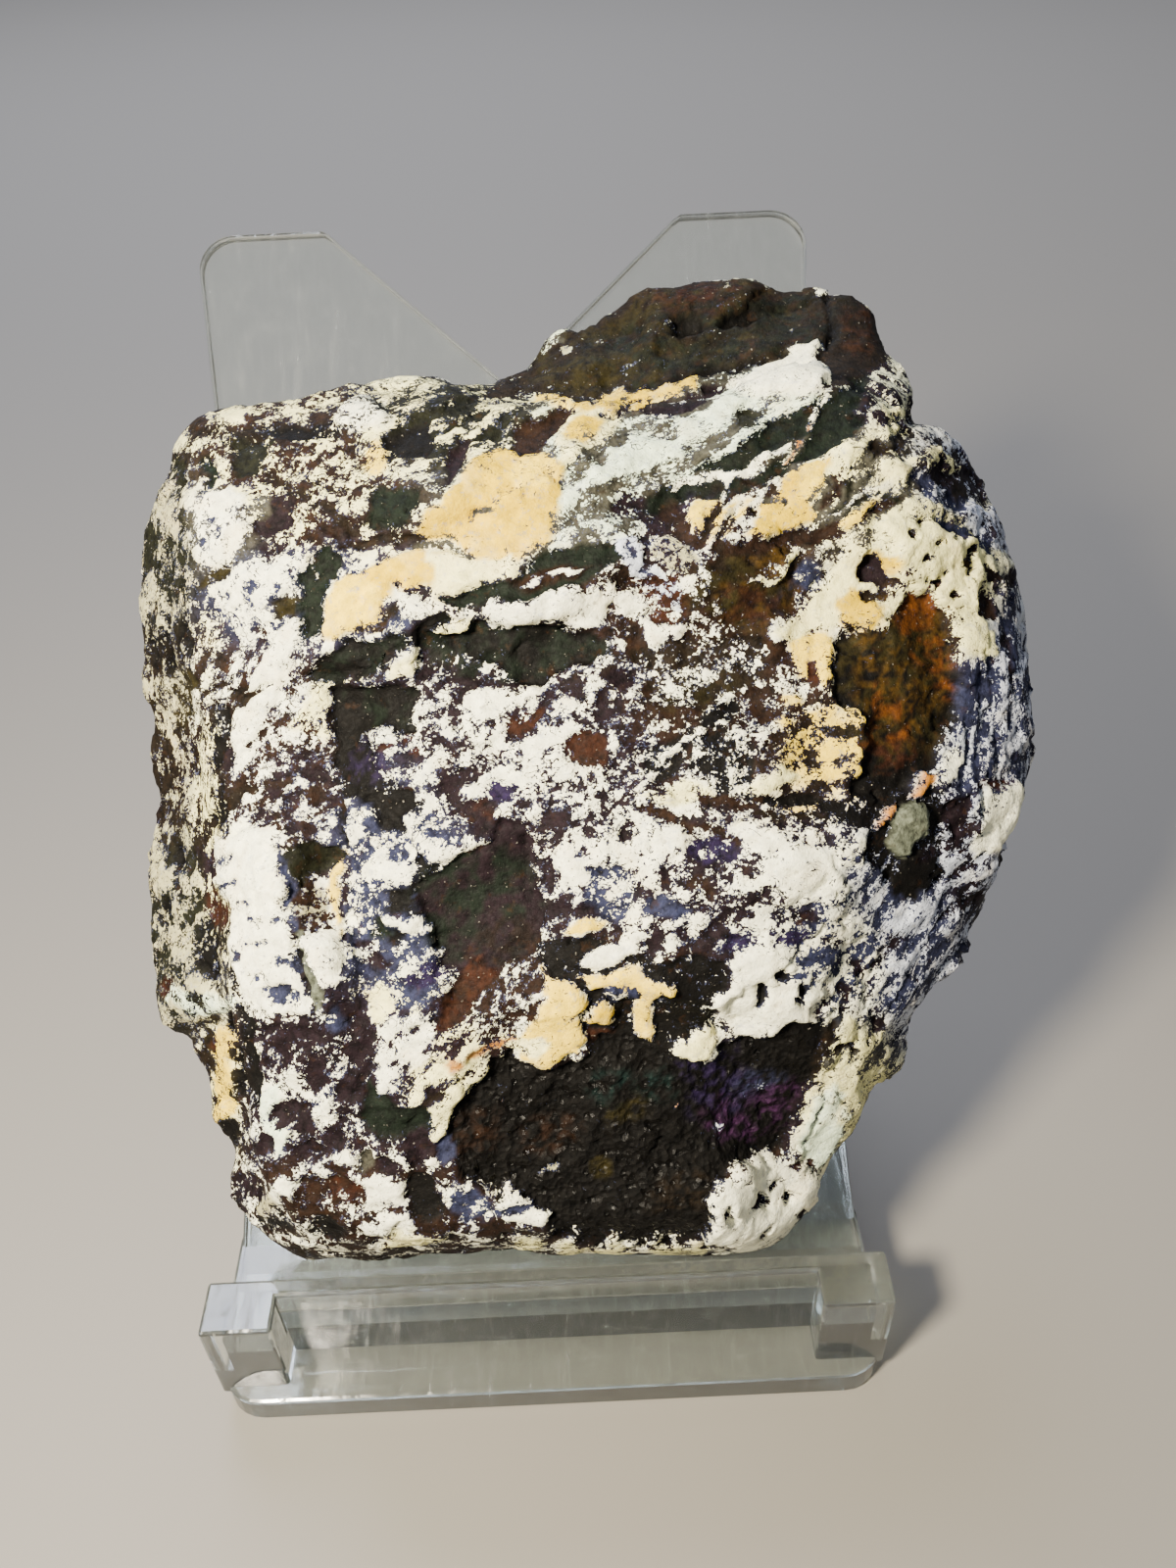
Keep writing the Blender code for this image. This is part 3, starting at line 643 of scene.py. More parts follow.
# %% The upper left
def upper_left():
    bare("olive", in_outline([(236, 450), (262, 440), (280, 450), (262, 480), (240, 486)]), 0.65, -0.6)
    bare("umber", on_line(14, (200, 442), (250, 440), (300, 436), (352, 436)), 0.7, -0.4)
    bare("black", in_blob(305, 440, 34, 9, -6), 0.8, -0.6)
    bare("olive", in_blob(176, 480, 10, 16, 0), 0.5, -0.4)
    bare("green", in_blob(212, 482, 6, 18, 0), 0.5, -0.4)
    crusted("white", in_blob(370, 427, 28, 14, 8), 0.45, 1.0)
    crusted("cream", in_blob(385, 470, 14, 17, 0), 0.35, 0)
    bare("plum", in_outline([
        (255, 532), (262, 512), (278, 500), (300, 506), (303, 524), (296, 538), (272, 545), (256, 542)]),
        0.9, -0.5, 3)
    bare("grey", in_blob(266, 512, 12, 10, 30), 0.05, -0.2)
    bare("brown", on_line(13, (310, 527), (326, 537), (350, 550)), 0.9, -0.5, 3)
    bare("brown", on_line(9, (296, 552), (312, 549), (326, 556)), 0.8, -0.4, 3)
    for stops in [[(270, 475), (290, 492), (304, 505), (336, 520), (352, 536), (372, 548)],
                  [(305, 486), (330, 494), (358, 502)], [(350, 560), (385, 555), (420, 544), (450, 546)]]:
        bare("umber", on_line(7, *stops), 0.7, -0.4, 3)
    bare("grey", on_line(9, (420, 558), (440, 550), (456, 552), (470, 568), (480, 572)), 0.45, -0.2)
    bare("plum", in_outline([(258, 560), (270, 550), (288, 552), (282, 566), (262, 570)]), 0.7, -0.4)
    bare("moss", on_line(14, (202, 596), (222, 584), (238, 568)), 0.7, -0.4)
    crusted("white", in_outline([
        (205, 508), (235, 500), (252, 505), (252, 550), (228, 572), (206, 580), (198, 545)]), 0.62, 0.4)
    for x, y in [(216, 530), (226, 545), (212, 556), (238, 520)]:
        bare("slate", in_blob(x, y, 7, 4, 60), 0.1, 0, 4)
    crusted("white", in_outline([
        (222, 600), (250, 575), (292, 580), (300, 596), (286, 610), (284, 632), (262, 648), (236, 640)]),
        0.6, 0.4)
    for x, y in [(236, 606), (262, 604), (276, 620), (250, 622)]:
        bare("slate", in_blob(x, y, 9, 4, 50), 0.1, 0, 4)
    bare("brown", in_blob(270, 640, 8, 5, -60), 0.7, -0.4, 3)
    bare("plum", in_blob(268, 650, 6, 4, 20), 0.7, -0.4, 3)
    bare("green", in_outline([
        (375, 528), (378, 503), (395, 500), (420, 500), (428, 510), (418, 532), (400, 543), (380, 540)]),
        0.95, -0.5, 3)
    bare("green", in_outline([
        (300, 590), (312, 580), (325, 562), (345, 566), (346, 588), (332, 602), (328, 640), (310, 655),
        (303, 640), (306, 610)]), 0.95, -0.8, 3)
    crusted("ash", on_line(5, (314, 570), (318, 580), (322, 592)), 0.5, -0.4, 3)
    bare("moss", in_outline([(284, 612), (296, 604), (304, 614), (300, 634), (286, 632)]), 0.8, -0.4, 3)
    crusted("cream", in_outline([
        (330, 652), (330, 618), (345, 590), (366, 578), (392, 590), (395, 620), (380, 642), (345, 655)]),
        0.92, 0.4)
    crusted("peach", in_outline([
        (366, 582), (390, 572), (432, 556), (440, 580), (438, 602), (395, 606)]), 0.92, 0.4)
    crusted("ivory", in_outline([(444, 560), (470, 572), (512, 572), (470, 610), (448, 606)]), 0.92, 0.5)
    bare("plum", on_line(8, (402, 590), (416, 600), (432, 612)), 0.6, -0.3, 3)
    crusted("white", in_outline([(404, 596), (424, 612), (442, 624), (420, 628), (410, 616)]), 0.8, 0.3)
    bare("slate", in_blob(404, 632, 14, 7, 35), 0.15, -0.2)
    bare("umber", on_line(9, (362, 648), (390, 632), (410, 618)), 0.7, -0.3)


upper_left()
so_far("upper left")

# %% [markdown]
# Three long bars of bare rock are sunk under the peach beds, with white wedges between them.

# %% Dark bars and white wedges
def dark_bars():
    bare("black", in_outline([
        (315, 690), (322, 672), (345, 660), (412, 648), (414, 660), (398, 676), (360, 692), (335, 696)]),
        0.9, -0.9, 3)
    crusted("ivory", on_line(5, (322, 698), (345, 697), (372, 690)), 0.7, 0, 3)
    bare("black", on_line(4, (366, 652), (366, 672), (362, 690)), 0.9, -1.5, 2)
    bare("black", in_outline([
        (418, 640), (445, 628), (480, 632), (520, 638), (600, 645), (614, 655), (598, 672), (570, 688),
        (545, 700), (520, 692), (495, 672), (450, 668), (425, 660)]), 0.93, -0.9, 3.5)
    bare("plum", in_outline([(425, 662), (470, 668), (520, 690), (470, 700), (430, 690)]), 0.4, -0.7)
    bare("green", in_outline([
        (448, 612), (480, 600), (520, 598), (538, 572), (560, 562), (590, 556), (632, 548), (640, 566),
        (610, 590), (560, 606), (520, 616), (470, 622)]), 0.93, -0.8, 3.5)
    stain("green", 0.9, in_blob(520, 662, 110, 32), 8, 2.0)
    stain("green", 0.8, in_blob(368, 676, 52, 20, 20), 8, 2.0)
    bare("brown", in_blob(560, 588, 36, 7, 10), 0.9, -0.7)
    crusted("white", on_line(6, (528, 598), (555, 590), (582, 584), (598, 580)), 0.8, -0.3, 3)
    crusted("ivory", in_outline([
        (436, 652), (460, 640), (484, 630), (480, 640), (456, 650)]), 0.8, 0.2, 3)
    crusted("white", in_outline([
        (494, 624), (520, 618), (560, 608), (600, 603), (620, 612), (615, 636), (588, 640), (560, 634),
        (505, 634)]), 0.9, 0.4, 3.5)
    stain("slate", 0.5, in_blob(515, 628, 22, 6), 4)
    crusted("white", in_outline([
        (612, 590), (632, 602), (662, 610), (692, 618), (660, 624), (638, 628), (624, 610)]), 0.95, 0.5,
        3)
    crusted("white", in_outline([
        (650, 640), (690, 632), (700, 645), (690, 664), (664, 660)]), 0.75, 0.4, 3)
    crusted("ivory", in_outline([
        (398, 682), (414, 666), (426, 664), (426, 686), (400, 688)]), 0.9, 0.4, 3)
    crusted("haze", in_outline([
        (626, 552), (646, 548), (662, 566), (684, 590), (702, 614), (690, 618), (664, 602), (640, 578)]),
        0.6, 0.3, 3)
    bare("slate", on_line(4, (640, 556), (664, 584), (688, 612)), 0.3, 0.1, 3)


dark_bars()
so_far("dark bars")

# %% [markdown]
# Olive-brown rock with cream streaks, broken into small pieces, lies between the bars and the
# rusty patch.

# %% The broken middle of the upper half
def broken_middle():
    bare("plum", in_outline([
        (645, 528), (672, 522), (694, 532), (702, 556), (690, 572), (664, 574)]), 0.45, -0.4)
    bare("brown", in_outline([
        (672, 520), (690, 508), (700, 512), (704, 536), (720, 560), (700, 570)]), 0.7, -0.5)
    crusted("cream", in_outline([
        (700, 530), (712, 512), (735, 506), (738, 530), (718, 548), (706, 545)]), 0.8, 0.2, 3)
    stain("violet", 0.5, in_blob(712, 512, 18, 9), 5)
    crusted("ash", in_blob(690, 566, 24, 14, -40), 0.05, 0)
    bare("rust", in_outline([(650, 590), (690, 584), (706, 604), (694, 640), (664, 634)]), 0.25, -0.3)
    for stops in [[(716, 552), (726, 530), (742, 510)], [(728, 560), (744, 536), (760, 515)]]:
        bare("umber", on_line(8, *stops), 0.7, -0.5, 3)
    for stops in [[(722, 556), (733, 536), (750, 512)], [(738, 552), (752, 530), (768, 512)]]:
        crusted("cream", on_line(5, *stops), 0.5, 0, 3)
    bare("umber", in_outline([
        (730, 562), (770, 556), (812, 556), (826, 580), (806, 618), (786, 640), (750, 640), (720, 612)]),
        0.75, -0.4)
    stain("ochre", 0.8, in_blob(776, 600, 52, 40, 20), 12, 0.8)
    stain("moss", 1.0, in_blob(748, 605, 52, 40, 20), 14, 1.6)
    stain("rust", 0.7, in_blob(772, 612, 40, 26, 20), 8)
    crusted("peach", in_outline([
        (762, 548), (772, 525), (790, 505), (800, 486), (828, 478), (845, 470), (846, 495), (826, 515),
        (838, 528), (818, 540), (790, 548)]), 0.9, 0.4, 3)
    crusted("cream", in_blob(830, 494, 14, 14, 30), 0.9, 0.4)
    bare("grey", in_blob(792, 512, 16, 6, 12), 0.15, 0, 3)
    for tint, stops in [("olive", [(852, 522), (866, 500), (874, 474)]),
                        ("brown", [(842, 516), (856, 492), (862, 470)]),
                        ("olive", [(862, 526), (878, 512), (914, 506)])]:
        bare(tint, on_line(6, *stops), 0.55, -0.2, 3)
    crusted("white", on_line(6, (846, 530), (864, 514), (886, 505), (912, 500)), 0.6, 0, 3)
    bare("brown", on_line(15, (742, 562), (800, 552), (856, 542), (910, 514)), 0.85, -0.5, 4)
    crusted("cream", in_outline([
        (850, 539), (870, 522), (906, 512), (892, 526), (868, 542)]), 0.8, 0.2, 3)
    crusted("ivory", in_outline([
        (768, 594), (790, 575), (814, 558), (806, 576), (786, 592)]), 0.8, 0.2, 3)
    bare("ochre", in_blob(786, 572, 14, 7, 20), 0.4, -0.2)


broken_middle()
so_far("broken middle")

# %% [markdown]
# A rounded knob tops a column of thick ivory crust at the right, which small brown pits dot.

# %% The knob and the white column at the right
def right_top():
    crusted("ivory", in_outline([(902, 478), (918, 470), (930, 482), (926, 500), (912, 498)]), 0.9, 0.5)
    crusted("ivory", in_outline([
        (922, 468), (950, 460), (968, 468), (975, 482), (960, 486), (940, 476)]), 0.6, 0.5)
    bare("slate", in_outline([
        (930, 482), (950, 486), (975, 500), (1000, 520), (985, 524), (945, 506)]), 0.3, -0.4)
    bare("plum", on_line(12, (975, 470), (994, 490), (1003, 514)), 0.6, -0.4)
    bare("plum", in_blob(964, 484, 11, 6, -40), 0.6, -0.4)
    bare("umber", in_blob(988, 500, 12, 8, -40), 0.4, -0.2)
    # bluish-grey haze crust on the flank's edge, partly painted shade
    crusted("haze", in_outline([
        (975, 516), (1010, 518), (1030, 540), (1044, 570), (1020, 560), (990, 540)]), 0.3, 0.2)
    bare("slate", on_line(9, (932, 508), (960, 530), (1000, 548), (1012, 562)), 0.5, -0.4)
    crusted("ivory", in_outline([
        (902, 530), (930, 530), (965, 540), (995, 556), (1000, 590), (996, 626), (962, 612), (930, 606),
        (918, 586), (914, 560)]), 0.93, 0.6)
    crusted("ivory", in_blob(930, 518, 30, 14, -20), 0.25, 0.3)
    for x, y, a, b, turn in [(938, 530, 5, 3, 20), (972, 548, 4, 3, 0), (990, 566, 5, 4, 40),
                             (934, 580, 4, 3, 0), (976, 606, 5, 4, 30), (966, 584, 3, 2, 0),
                             (940, 596, 3, 4, 0), (1000, 604, 4, 7, 20), (954, 596, 8, 5, 0),
                             (986, 582, 5, 12, 20), (926, 548, 4, 7, 20),
                             (1012, 586, 7, 10, 20), (946, 568, 3, 3, 0), (962, 556, 3, 2, 0),
                             (1032, 590, 6, 8, 0), (1010, 624, 10, 12, 0)]:
        bare("brown", in_blob(x, y, a, b, turn), 0.8, -0.4, 2.5)
    crusted("ivory", in_outline([
        (792, 648), (826, 604), (846, 590), (862, 560), (900, 556), (918, 570), (912, 590), (884, 596),
        (850, 640), (812, 656)]), 0.85, 0.4)
    stain("slate", 0.6, in_blob(812, 604, 22, 16, 50), 7)
    bare("slate", in_blob(826, 586, 12, 14, 40), 0.2, -0.2)
    crusted("peach", in_outline([
        (850, 618), (868, 600), (894, 612), (900, 630), (890, 644), (856, 640)]), 0.8, 0.4)
    crusted("peach", in_blob(906, 572, 13, 9, -20), 0.7, 0.3)
    bare("plum", in_outline([
        (872, 584), (886, 568), (898, 566), (904, 580), (918, 592), (900, 602), (884, 592)]), 0.85, -0.5,
        3)
    bare("umber", in_blob(888, 606, 10, 7), 0.7, -0.3)
    crusted("ivory", in_outline([
        (974, 622), (990, 620), (998, 640), (1012, 650), (1018, 668), (994, 668), (980, 650)]), 0.85,
        0.3)


right_top()
so_far("right top")

# %% [markdown]
# A hollow of black rock is stained ochre and orange by iron. Stains colour the rock in broken
# spots and leave the crust alone. A sage-green grain sits at its foot.

# %% The rusty patch
def rusty_patch():
    bare("black", in_outline([
        (850, 652), (872, 640), (902, 640), (905, 622), (925, 612), (950, 605), (970, 630), (976, 650),
        (985, 690), (988, 715), (974, 738), (962, 748), (955, 765), (955, 795), (938, 796), (918, 806),
        (888, 818), (868, 812), (882, 790), (886, 760), (880, 730), (855, 720),
        (850, 690)]), 0.9, -1.2, 4)
    stain("moss", 1.0, in_blob(915, 690, 62, 90), 20, 1.6)
    stain("ochre", 1.0, in_blob(925, 680, 52, 85), 14, 0.8)
    stain("moss", 1.0, in_blob(930, 655, 34, 22), 8, 0.9)
    stain("moss", 0.9, in_blob(868, 664, 14, 12), 6, 0.9)
    stain("orange", 1.0, in_blob(946, 622, 30, 20, 10), 5, 2.2)
    stain("orange", 0.9, in_blob(958, 668, 18, 22, 60), 5, 0.9)
    stain("orange", 1.0, in_blob(968, 704, 14, 13), 4, 1.8)
    stain("orange", 1.0, in_blob(918, 736, 22, 18, 50), 4, 1.5)
    stain("orange", 1.0, in_blob(892, 750, 18, 16), 4, 1.5)
    stain("orange", 0.8, in_blob(906, 712, 7, 16), 4, 1.2)
    stain("rust", 0.9, in_blob(920, 770, 26, 20), 6, 0.8)
    crusted("cream", in_outline([
        (808, 656), (850, 646), (853, 690), (842, 702), (820, 690), (806, 672)]), 0.8, 0.3)
    bare("rust", in_blob(829, 688, 6, 10), 0.8, -0.3, 3)
    bare("brown", in_blob(786, 682, 22, 16, 30), 0.5, -0.3)
    for x, y, a, b, turn in [(872, 733, 7, 12, 0), (874, 765, 6, 14, 0), (866, 790, 13, 8, 0),
                             (836, 726, 14, 8, 10), (850, 764, 10, 9, 0), (812, 716, 9, 7, 0),
                             (842, 790, 10, 7, 0), (800, 740, 8, 5, 0)]:
        crusted("cream", in_blob(x, y, a, b, turn), 0.5, 0.2, 4)
    crusted("ivory", in_outline([
        (752, 802), (772, 792), (800, 790), (816, 797), (798, 804), (762, 808)]), 0.85, 0.3)
    bare("black", on_line(11, (742, 806), (786, 818), (830, 816), (874, 822)), 0.85, -0.5, 3)
    bare("umber", on_line(8, (770, 832), (800, 832), (850, 828)), 0.8, -0.4, 3)
    crusted("cream", on_line(5, (790, 822), (810, 826), (835, 822)), 0.4, 0.1, 3)
    bare("black", in_outline([
        (842, 818), (890, 812), (900, 850), (880, 846), (850, 838)]), 0.5, -0.5)
    bare("black", in_outline([
        (890, 812), (925, 806), (958, 800), (968, 830), (962, 866), (954, 905), (930, 920), (905, 895),
        (880, 880), (884, 850)]), 0.55, -0.7)
    crusted("tan", on_line(11, (895, 846), (904, 834), (914, 822)), 0.7, 0.1, 3)
    crusted("tan", on_line(11, (930, 814), (944, 800), (962, 792)), 0.7, 0.1, 3)
    bare("sage", in_outline([
        (910, 842), (915, 828), (930, 822), (945, 818), (951, 830), (945, 855), (930, 863), (922, 878),
        (912, 880), (907, 860)]), 0.97, 0.3, 2.5)
    bare("black", in_outline([
        (912, 902), (920, 885), (940, 872), (956, 872), (956, 890), (946, 910), (930, 918), (914, 914)]),
        0.95, 0.1, 3)
    crusted("white", in_blob(866, 868, 18, 11, -30), 0.5, 0.1)
    crusted("white", in_outline([(962, 768), (975, 760), (976, 792), (962, 812), (955, 800)]), 0.7, 0.3)


rusty_patch()
so_far("rusty patch")

# %% [markdown]
# The flank turns away from the light. Long bluish and dark streaks run along it; the bluish grey of
# its crust is partly painted shade.

# %% The right flank
def right_flank():
    bare("plum", in_outline([(968, 818), (988, 810), (990, 846), (970, 854)]), 0.75, -0.6)
    crusted("white", in_outline([
        (1000, 812), (1030, 800), (1046, 810), (1040, 836), (1016, 866), (996, 872),
        (994, 840)]), 0.75, 0.4)
    for tint, stops in [("slate", [(1000, 680), (1008, 720), (1000, 780)]),
                        ("plum", [(1024, 640), (1034, 690), (1024, 740)]),
                        ("slate", [(984, 700), (990, 740), (982, 800)]),
                        ("slate", [(1014, 740), (1020, 780), (1016, 800)]),
                        ("rust", [(1004, 806), (1012, 800), (1024, 798)]),
                        ("slate", [(900, 1040), (920, 990), (955, 940)]),
                        ("plum", [(878, 1030), (894, 985), (920, 948)]),
                        ("plum", [(940, 880), (956, 872), (976, 862)]),
                        ("plum", [(960, 938), (980, 924), (1000, 914)])]:
        bare(tint, on_line(8, *stops), 0.35, -0.3)
    # bluish-grey haze streaks of crust, partly painted shade on this shaded flank
    for stops in [[(1020, 700), (1026, 740), (1018, 790)], [(1044, 720), (1046, 742), (1040, 762)],
                  [(905, 1020), (930, 970), (966, 925)], [(948, 918), (970, 896), (1010, 886)]]:
        crusted("haze", on_line(11, *stops), 0.6, 0.2)


right_flank()
so_far("right flank")

# %% [markdown]
# A square plate of black rock lies below the bars, and a thin upright cream ridge runs down from
# its left edge.

# %% The dark plate and the ridge at the left
def dark_plate():
    bare("black", in_outline([
        (340, 702), (424, 698), (424, 750), (402, 754), (382, 745), (374, 760), (388, 785), (402, 800),
        (350, 802), (341, 760)]), 0.97, -0.8, 2.5)
    stain("green", 0.9, in_blob(385, 724, 44, 26), 8, 2.0)
    stain("violet", 0.6, in_blob(376, 776, 26, 22), 7, 0.8)
    crusted("white", in_blob(366, 750, 8, 4, 60), 0.05, -0.6)
    crusted("white", in_outline([
        (376, 744), (400, 746), (430, 756), (436, 772), (412, 780), (392, 772)]), 0.45, 0.1)
    for x, y in [(391, 763), (417, 755), (424, 770), (452, 755)]:
        bare("rust", in_blob(x, y, 6, 4, 40), 0.7, -0.2, 2.5)
    bare("black", in_outline([
        (350, 800), (402, 800), (426, 814), (434, 822), (416, 832), (414, 850), (392, 850), (374, 815),
        (352, 814)]), 0.9, -0.7, 3)
    bare("black", on_line(8, (344, 700), (346, 760), (349, 860)), 0.9, -0.9, 3)
    bare("plum", on_line(6, (353, 862), (354, 910), (352, 962)), 0.6, -0.4, 3)
    crusted("cream", on_line(9, (346, 862), (346, 905), (346, 958)), 0.8, 0.4, 3)
    bare("slate", in_outline([
        (352, 856), (382, 852), (424, 852), (428, 866), (396, 882), (356, 884)]), 0.08, -0.2)
    crusted("white", in_outline([
        (360, 892), (392, 880), (424, 878), (428, 890), (400, 902), (366, 900)]), 0.8, 0.2)
    crusted("white", in_outline([(424, 850), (452, 848), (466, 862), (458, 880), (430, 884)]), 0.7, 0.2)
    bare("slate", in_outline([(354, 926), (388, 916), (410, 908), (384, 934), (358, 944)]), 0.12, -0.2)


dark_plate()
so_far("dark plate")

# %% [markdown]
# White panels stand side by side here, parted by a dark crack with a sage blade in it.

# %% The left panels
def left_panels():
    crusted("white", on_line(30, (304, 640), (278, 688), (250, 742), (246, 768)), 0.85, 0.6)
    crusted("ivory", in_outline([(318, 705), (338, 700), (340, 760), (322, 748), (300, 740)]), 0.5, 0.2)
    for stops in [[(205, 720), (222, 700), (246, 690)], [(215, 740), (230, 716), (258, 696)],
                  [(240, 730), (258, 708), (282, 696)]]:
        bare("umber", on_line(7, *stops), 0.6, -0.4, 3)
    for x, y, a, b, turn in [(275, 812, 8, 8, 0), (265, 836, 12, 9, 20), (295, 818, 7, 15, 0),
                             (300, 842, 8, 8, 0), (341, 812, 9, 11, 0), (322, 789, 24, 10, -8),
                             (286, 786, 12, 8, 20), (310, 770, 16, 6, 0), (230, 775, 6, 12, 20)]:
        bare("plum", in_blob(x, y, a, b, turn), 0.65, -0.4, 3.5)
    bare("umber", on_line(10, (216, 846), (226, 822), (246, 810), (268, 802)), 0.8, -0.4)
    crusted("white", in_outline([
        (218, 862), (238, 852), (283, 850), (292, 905), (300, 950), (314, 990), (325, 1030), (280, 1034),
        (250, 1010), (242, 975), (236, 930), (224, 900)]), 0.93, 0.5, 4)
    for x, y, a, b, turn in [(228, 880, 10, 3, 30), (232, 904, 12, 3, 40), (262, 936, 3, 9, 20),
                             (264, 964, 8, 4, 10), (248, 978, 4, 6, 0), (268, 996, 8, 5, 20),
                             (286, 938, 4, 3, 0), (254, 918, 7, 2, 10), (296, 984, 4, 12, 60),
                             (282, 1014, 14, 9, -40), (300, 1020, 9, 6, 30)]:
        bare("slate", in_blob(x, y, a, b, turn), 0.3, -0.1, 3)
    bare("slate", on_line(6, (283, 850), (290, 890), (297, 925), (303, 952)), 0.9, -0.6, 2.5)
    bare("sage", on_line(12, (306, 954), (316, 990), (326, 1024)), 0.95, 0.1, 2.5)
    bare("black", on_line(5, (300, 955), (308, 994), (322, 1030)), 0.95, -0.8, 2.5)
    bare("olive", in_outline([
        (290, 868), (318, 862), (340, 858), (347, 864), (345, 884), (322, 892), (300, 906), (292, 888)]),
        0.93, -0.5, 3)
    crusted("ash", in_blob(318, 922, 20, 20, 0), 0.02, 0)
    crusted("white", in_outline([
        (304, 958), (345, 950), (346, 1000), (330, 1010), (318, 985)]), 0.75, 0.2)
    bare("black", in_outline([(396, 912), (412, 905), (438, 902), (432, 930), (402, 932)]), 0.75, -0.4, 3)
    stain("slate", 1.0, in_blob(424, 914, 14, 11), 5)
    bare("green", in_outline([
        (383, 937), (390, 928), (398, 958), (382, 966), (385, 948)]), 0.9, -0.4, 2.5)
    crusted("white", in_outline([(396, 937), (427, 934), (416, 955), (402, 950)]), 0.93, 0.3, 2.5)
    bare("black", in_outline([(400, 950), (420, 956), (414, 968), (396, 964)]), 0.8, -0.3, 3)
    bare("black", in_outline([(428, 866), (446, 884), (432, 902), (426, 886)]), 0.9, -0.5, 3)
    bare("plum", in_outline([(366, 962), (386, 970), (398, 978), (388, 990), (370, 982)]), 0.45, -0.3)
    bare("slate", in_outline([(404, 960), (422, 948), (432, 956), (418, 974), (406, 980)]), 0.3, -0.3)
    bare("slate", in_blob(418, 1016, 24, 14, 10), 0.3, -0.2)
    bare("violet", in_blob(440, 992, 22, 12, 20), 0.2, -0.2)
    crusted("ivory", in_outline([
        (372, 1012), (392, 1004), (404, 1030), (396, 1046), (378, 1040)]), 0.8, 0.2)


left_panels()
so_far("left panels")

# %% [markdown]
# The left flank is olive and ash, with upright dark cracks.

# %% The left flank
def left_flank():
    for stop_a, stop_b, width in [((232, 722), (212, 790), 14), ((228, 800), (218, 845), 10),
                                  ((206, 935), (206, 985), 14), ((218, 960), (216, 1000), 12),
                                  ((168, 610), (172, 690), 8), ((190, 640), (196, 700), 7),
                                  ((160, 640), (158, 690), 6), ((186, 860), (182, 910), 8),
                                  ((172, 915), (170, 945), 9)]:
        bare("black", on_line(width, stop_a, stop_b), 0.6, -0.7, 4)
    stain("moss", 0.7, in_blob(180, 715, 26, 34), 8)
    bare("moss", in_blob(185, 712, 14, 24, 10), 0.2, -0.2)
    bare("rust", in_outline([(212, 905), (220, 905), (234, 935), (226, 948), (214, 940)]), 0.6, -0.2)
    bare("plum", in_outline([(206, 870), (218, 868), (224, 892), (212, 902)]), 0.6, -0.3)
    crusted("ash", in_blob(160, 888, 12, 26, 0), 0.45, 0.3)
    bare("umber", on_line(7, (214, 1050), (210, 1090), (214, 1130)), 0.6, -0.2)
    crusted("cream", in_outline([(220, 1048), (238, 1044), (238, 1140), (216, 1142)]), 0.5, 0.1)
    bare("rust", in_blob(226, 1066, 8, 6), 0.4, -0.1)
    bare("black", in_outline([(204, 1145), (242, 1145), (240, 1180), (215, 1176)]), 0.8, -0.2)
    bare("black", in_outline([
        (238, 1028), (256, 1040), (264, 1080), (264, 1132), (246, 1122), (240, 1090)]), 0.9, -0.8, 3)
    crusted("mint", on_line(12, (170, 1010), (200, 1026), (236, 1022)), 0.4, 0.2)
    bare("rust", in_blob(168, 1008, 8, 6), 0.4, -0.2)


left_flank()
so_far("left flank")

# %% [markdown]
# The middle is broken white over plum rock, with one large dark patch and its rusty tail.

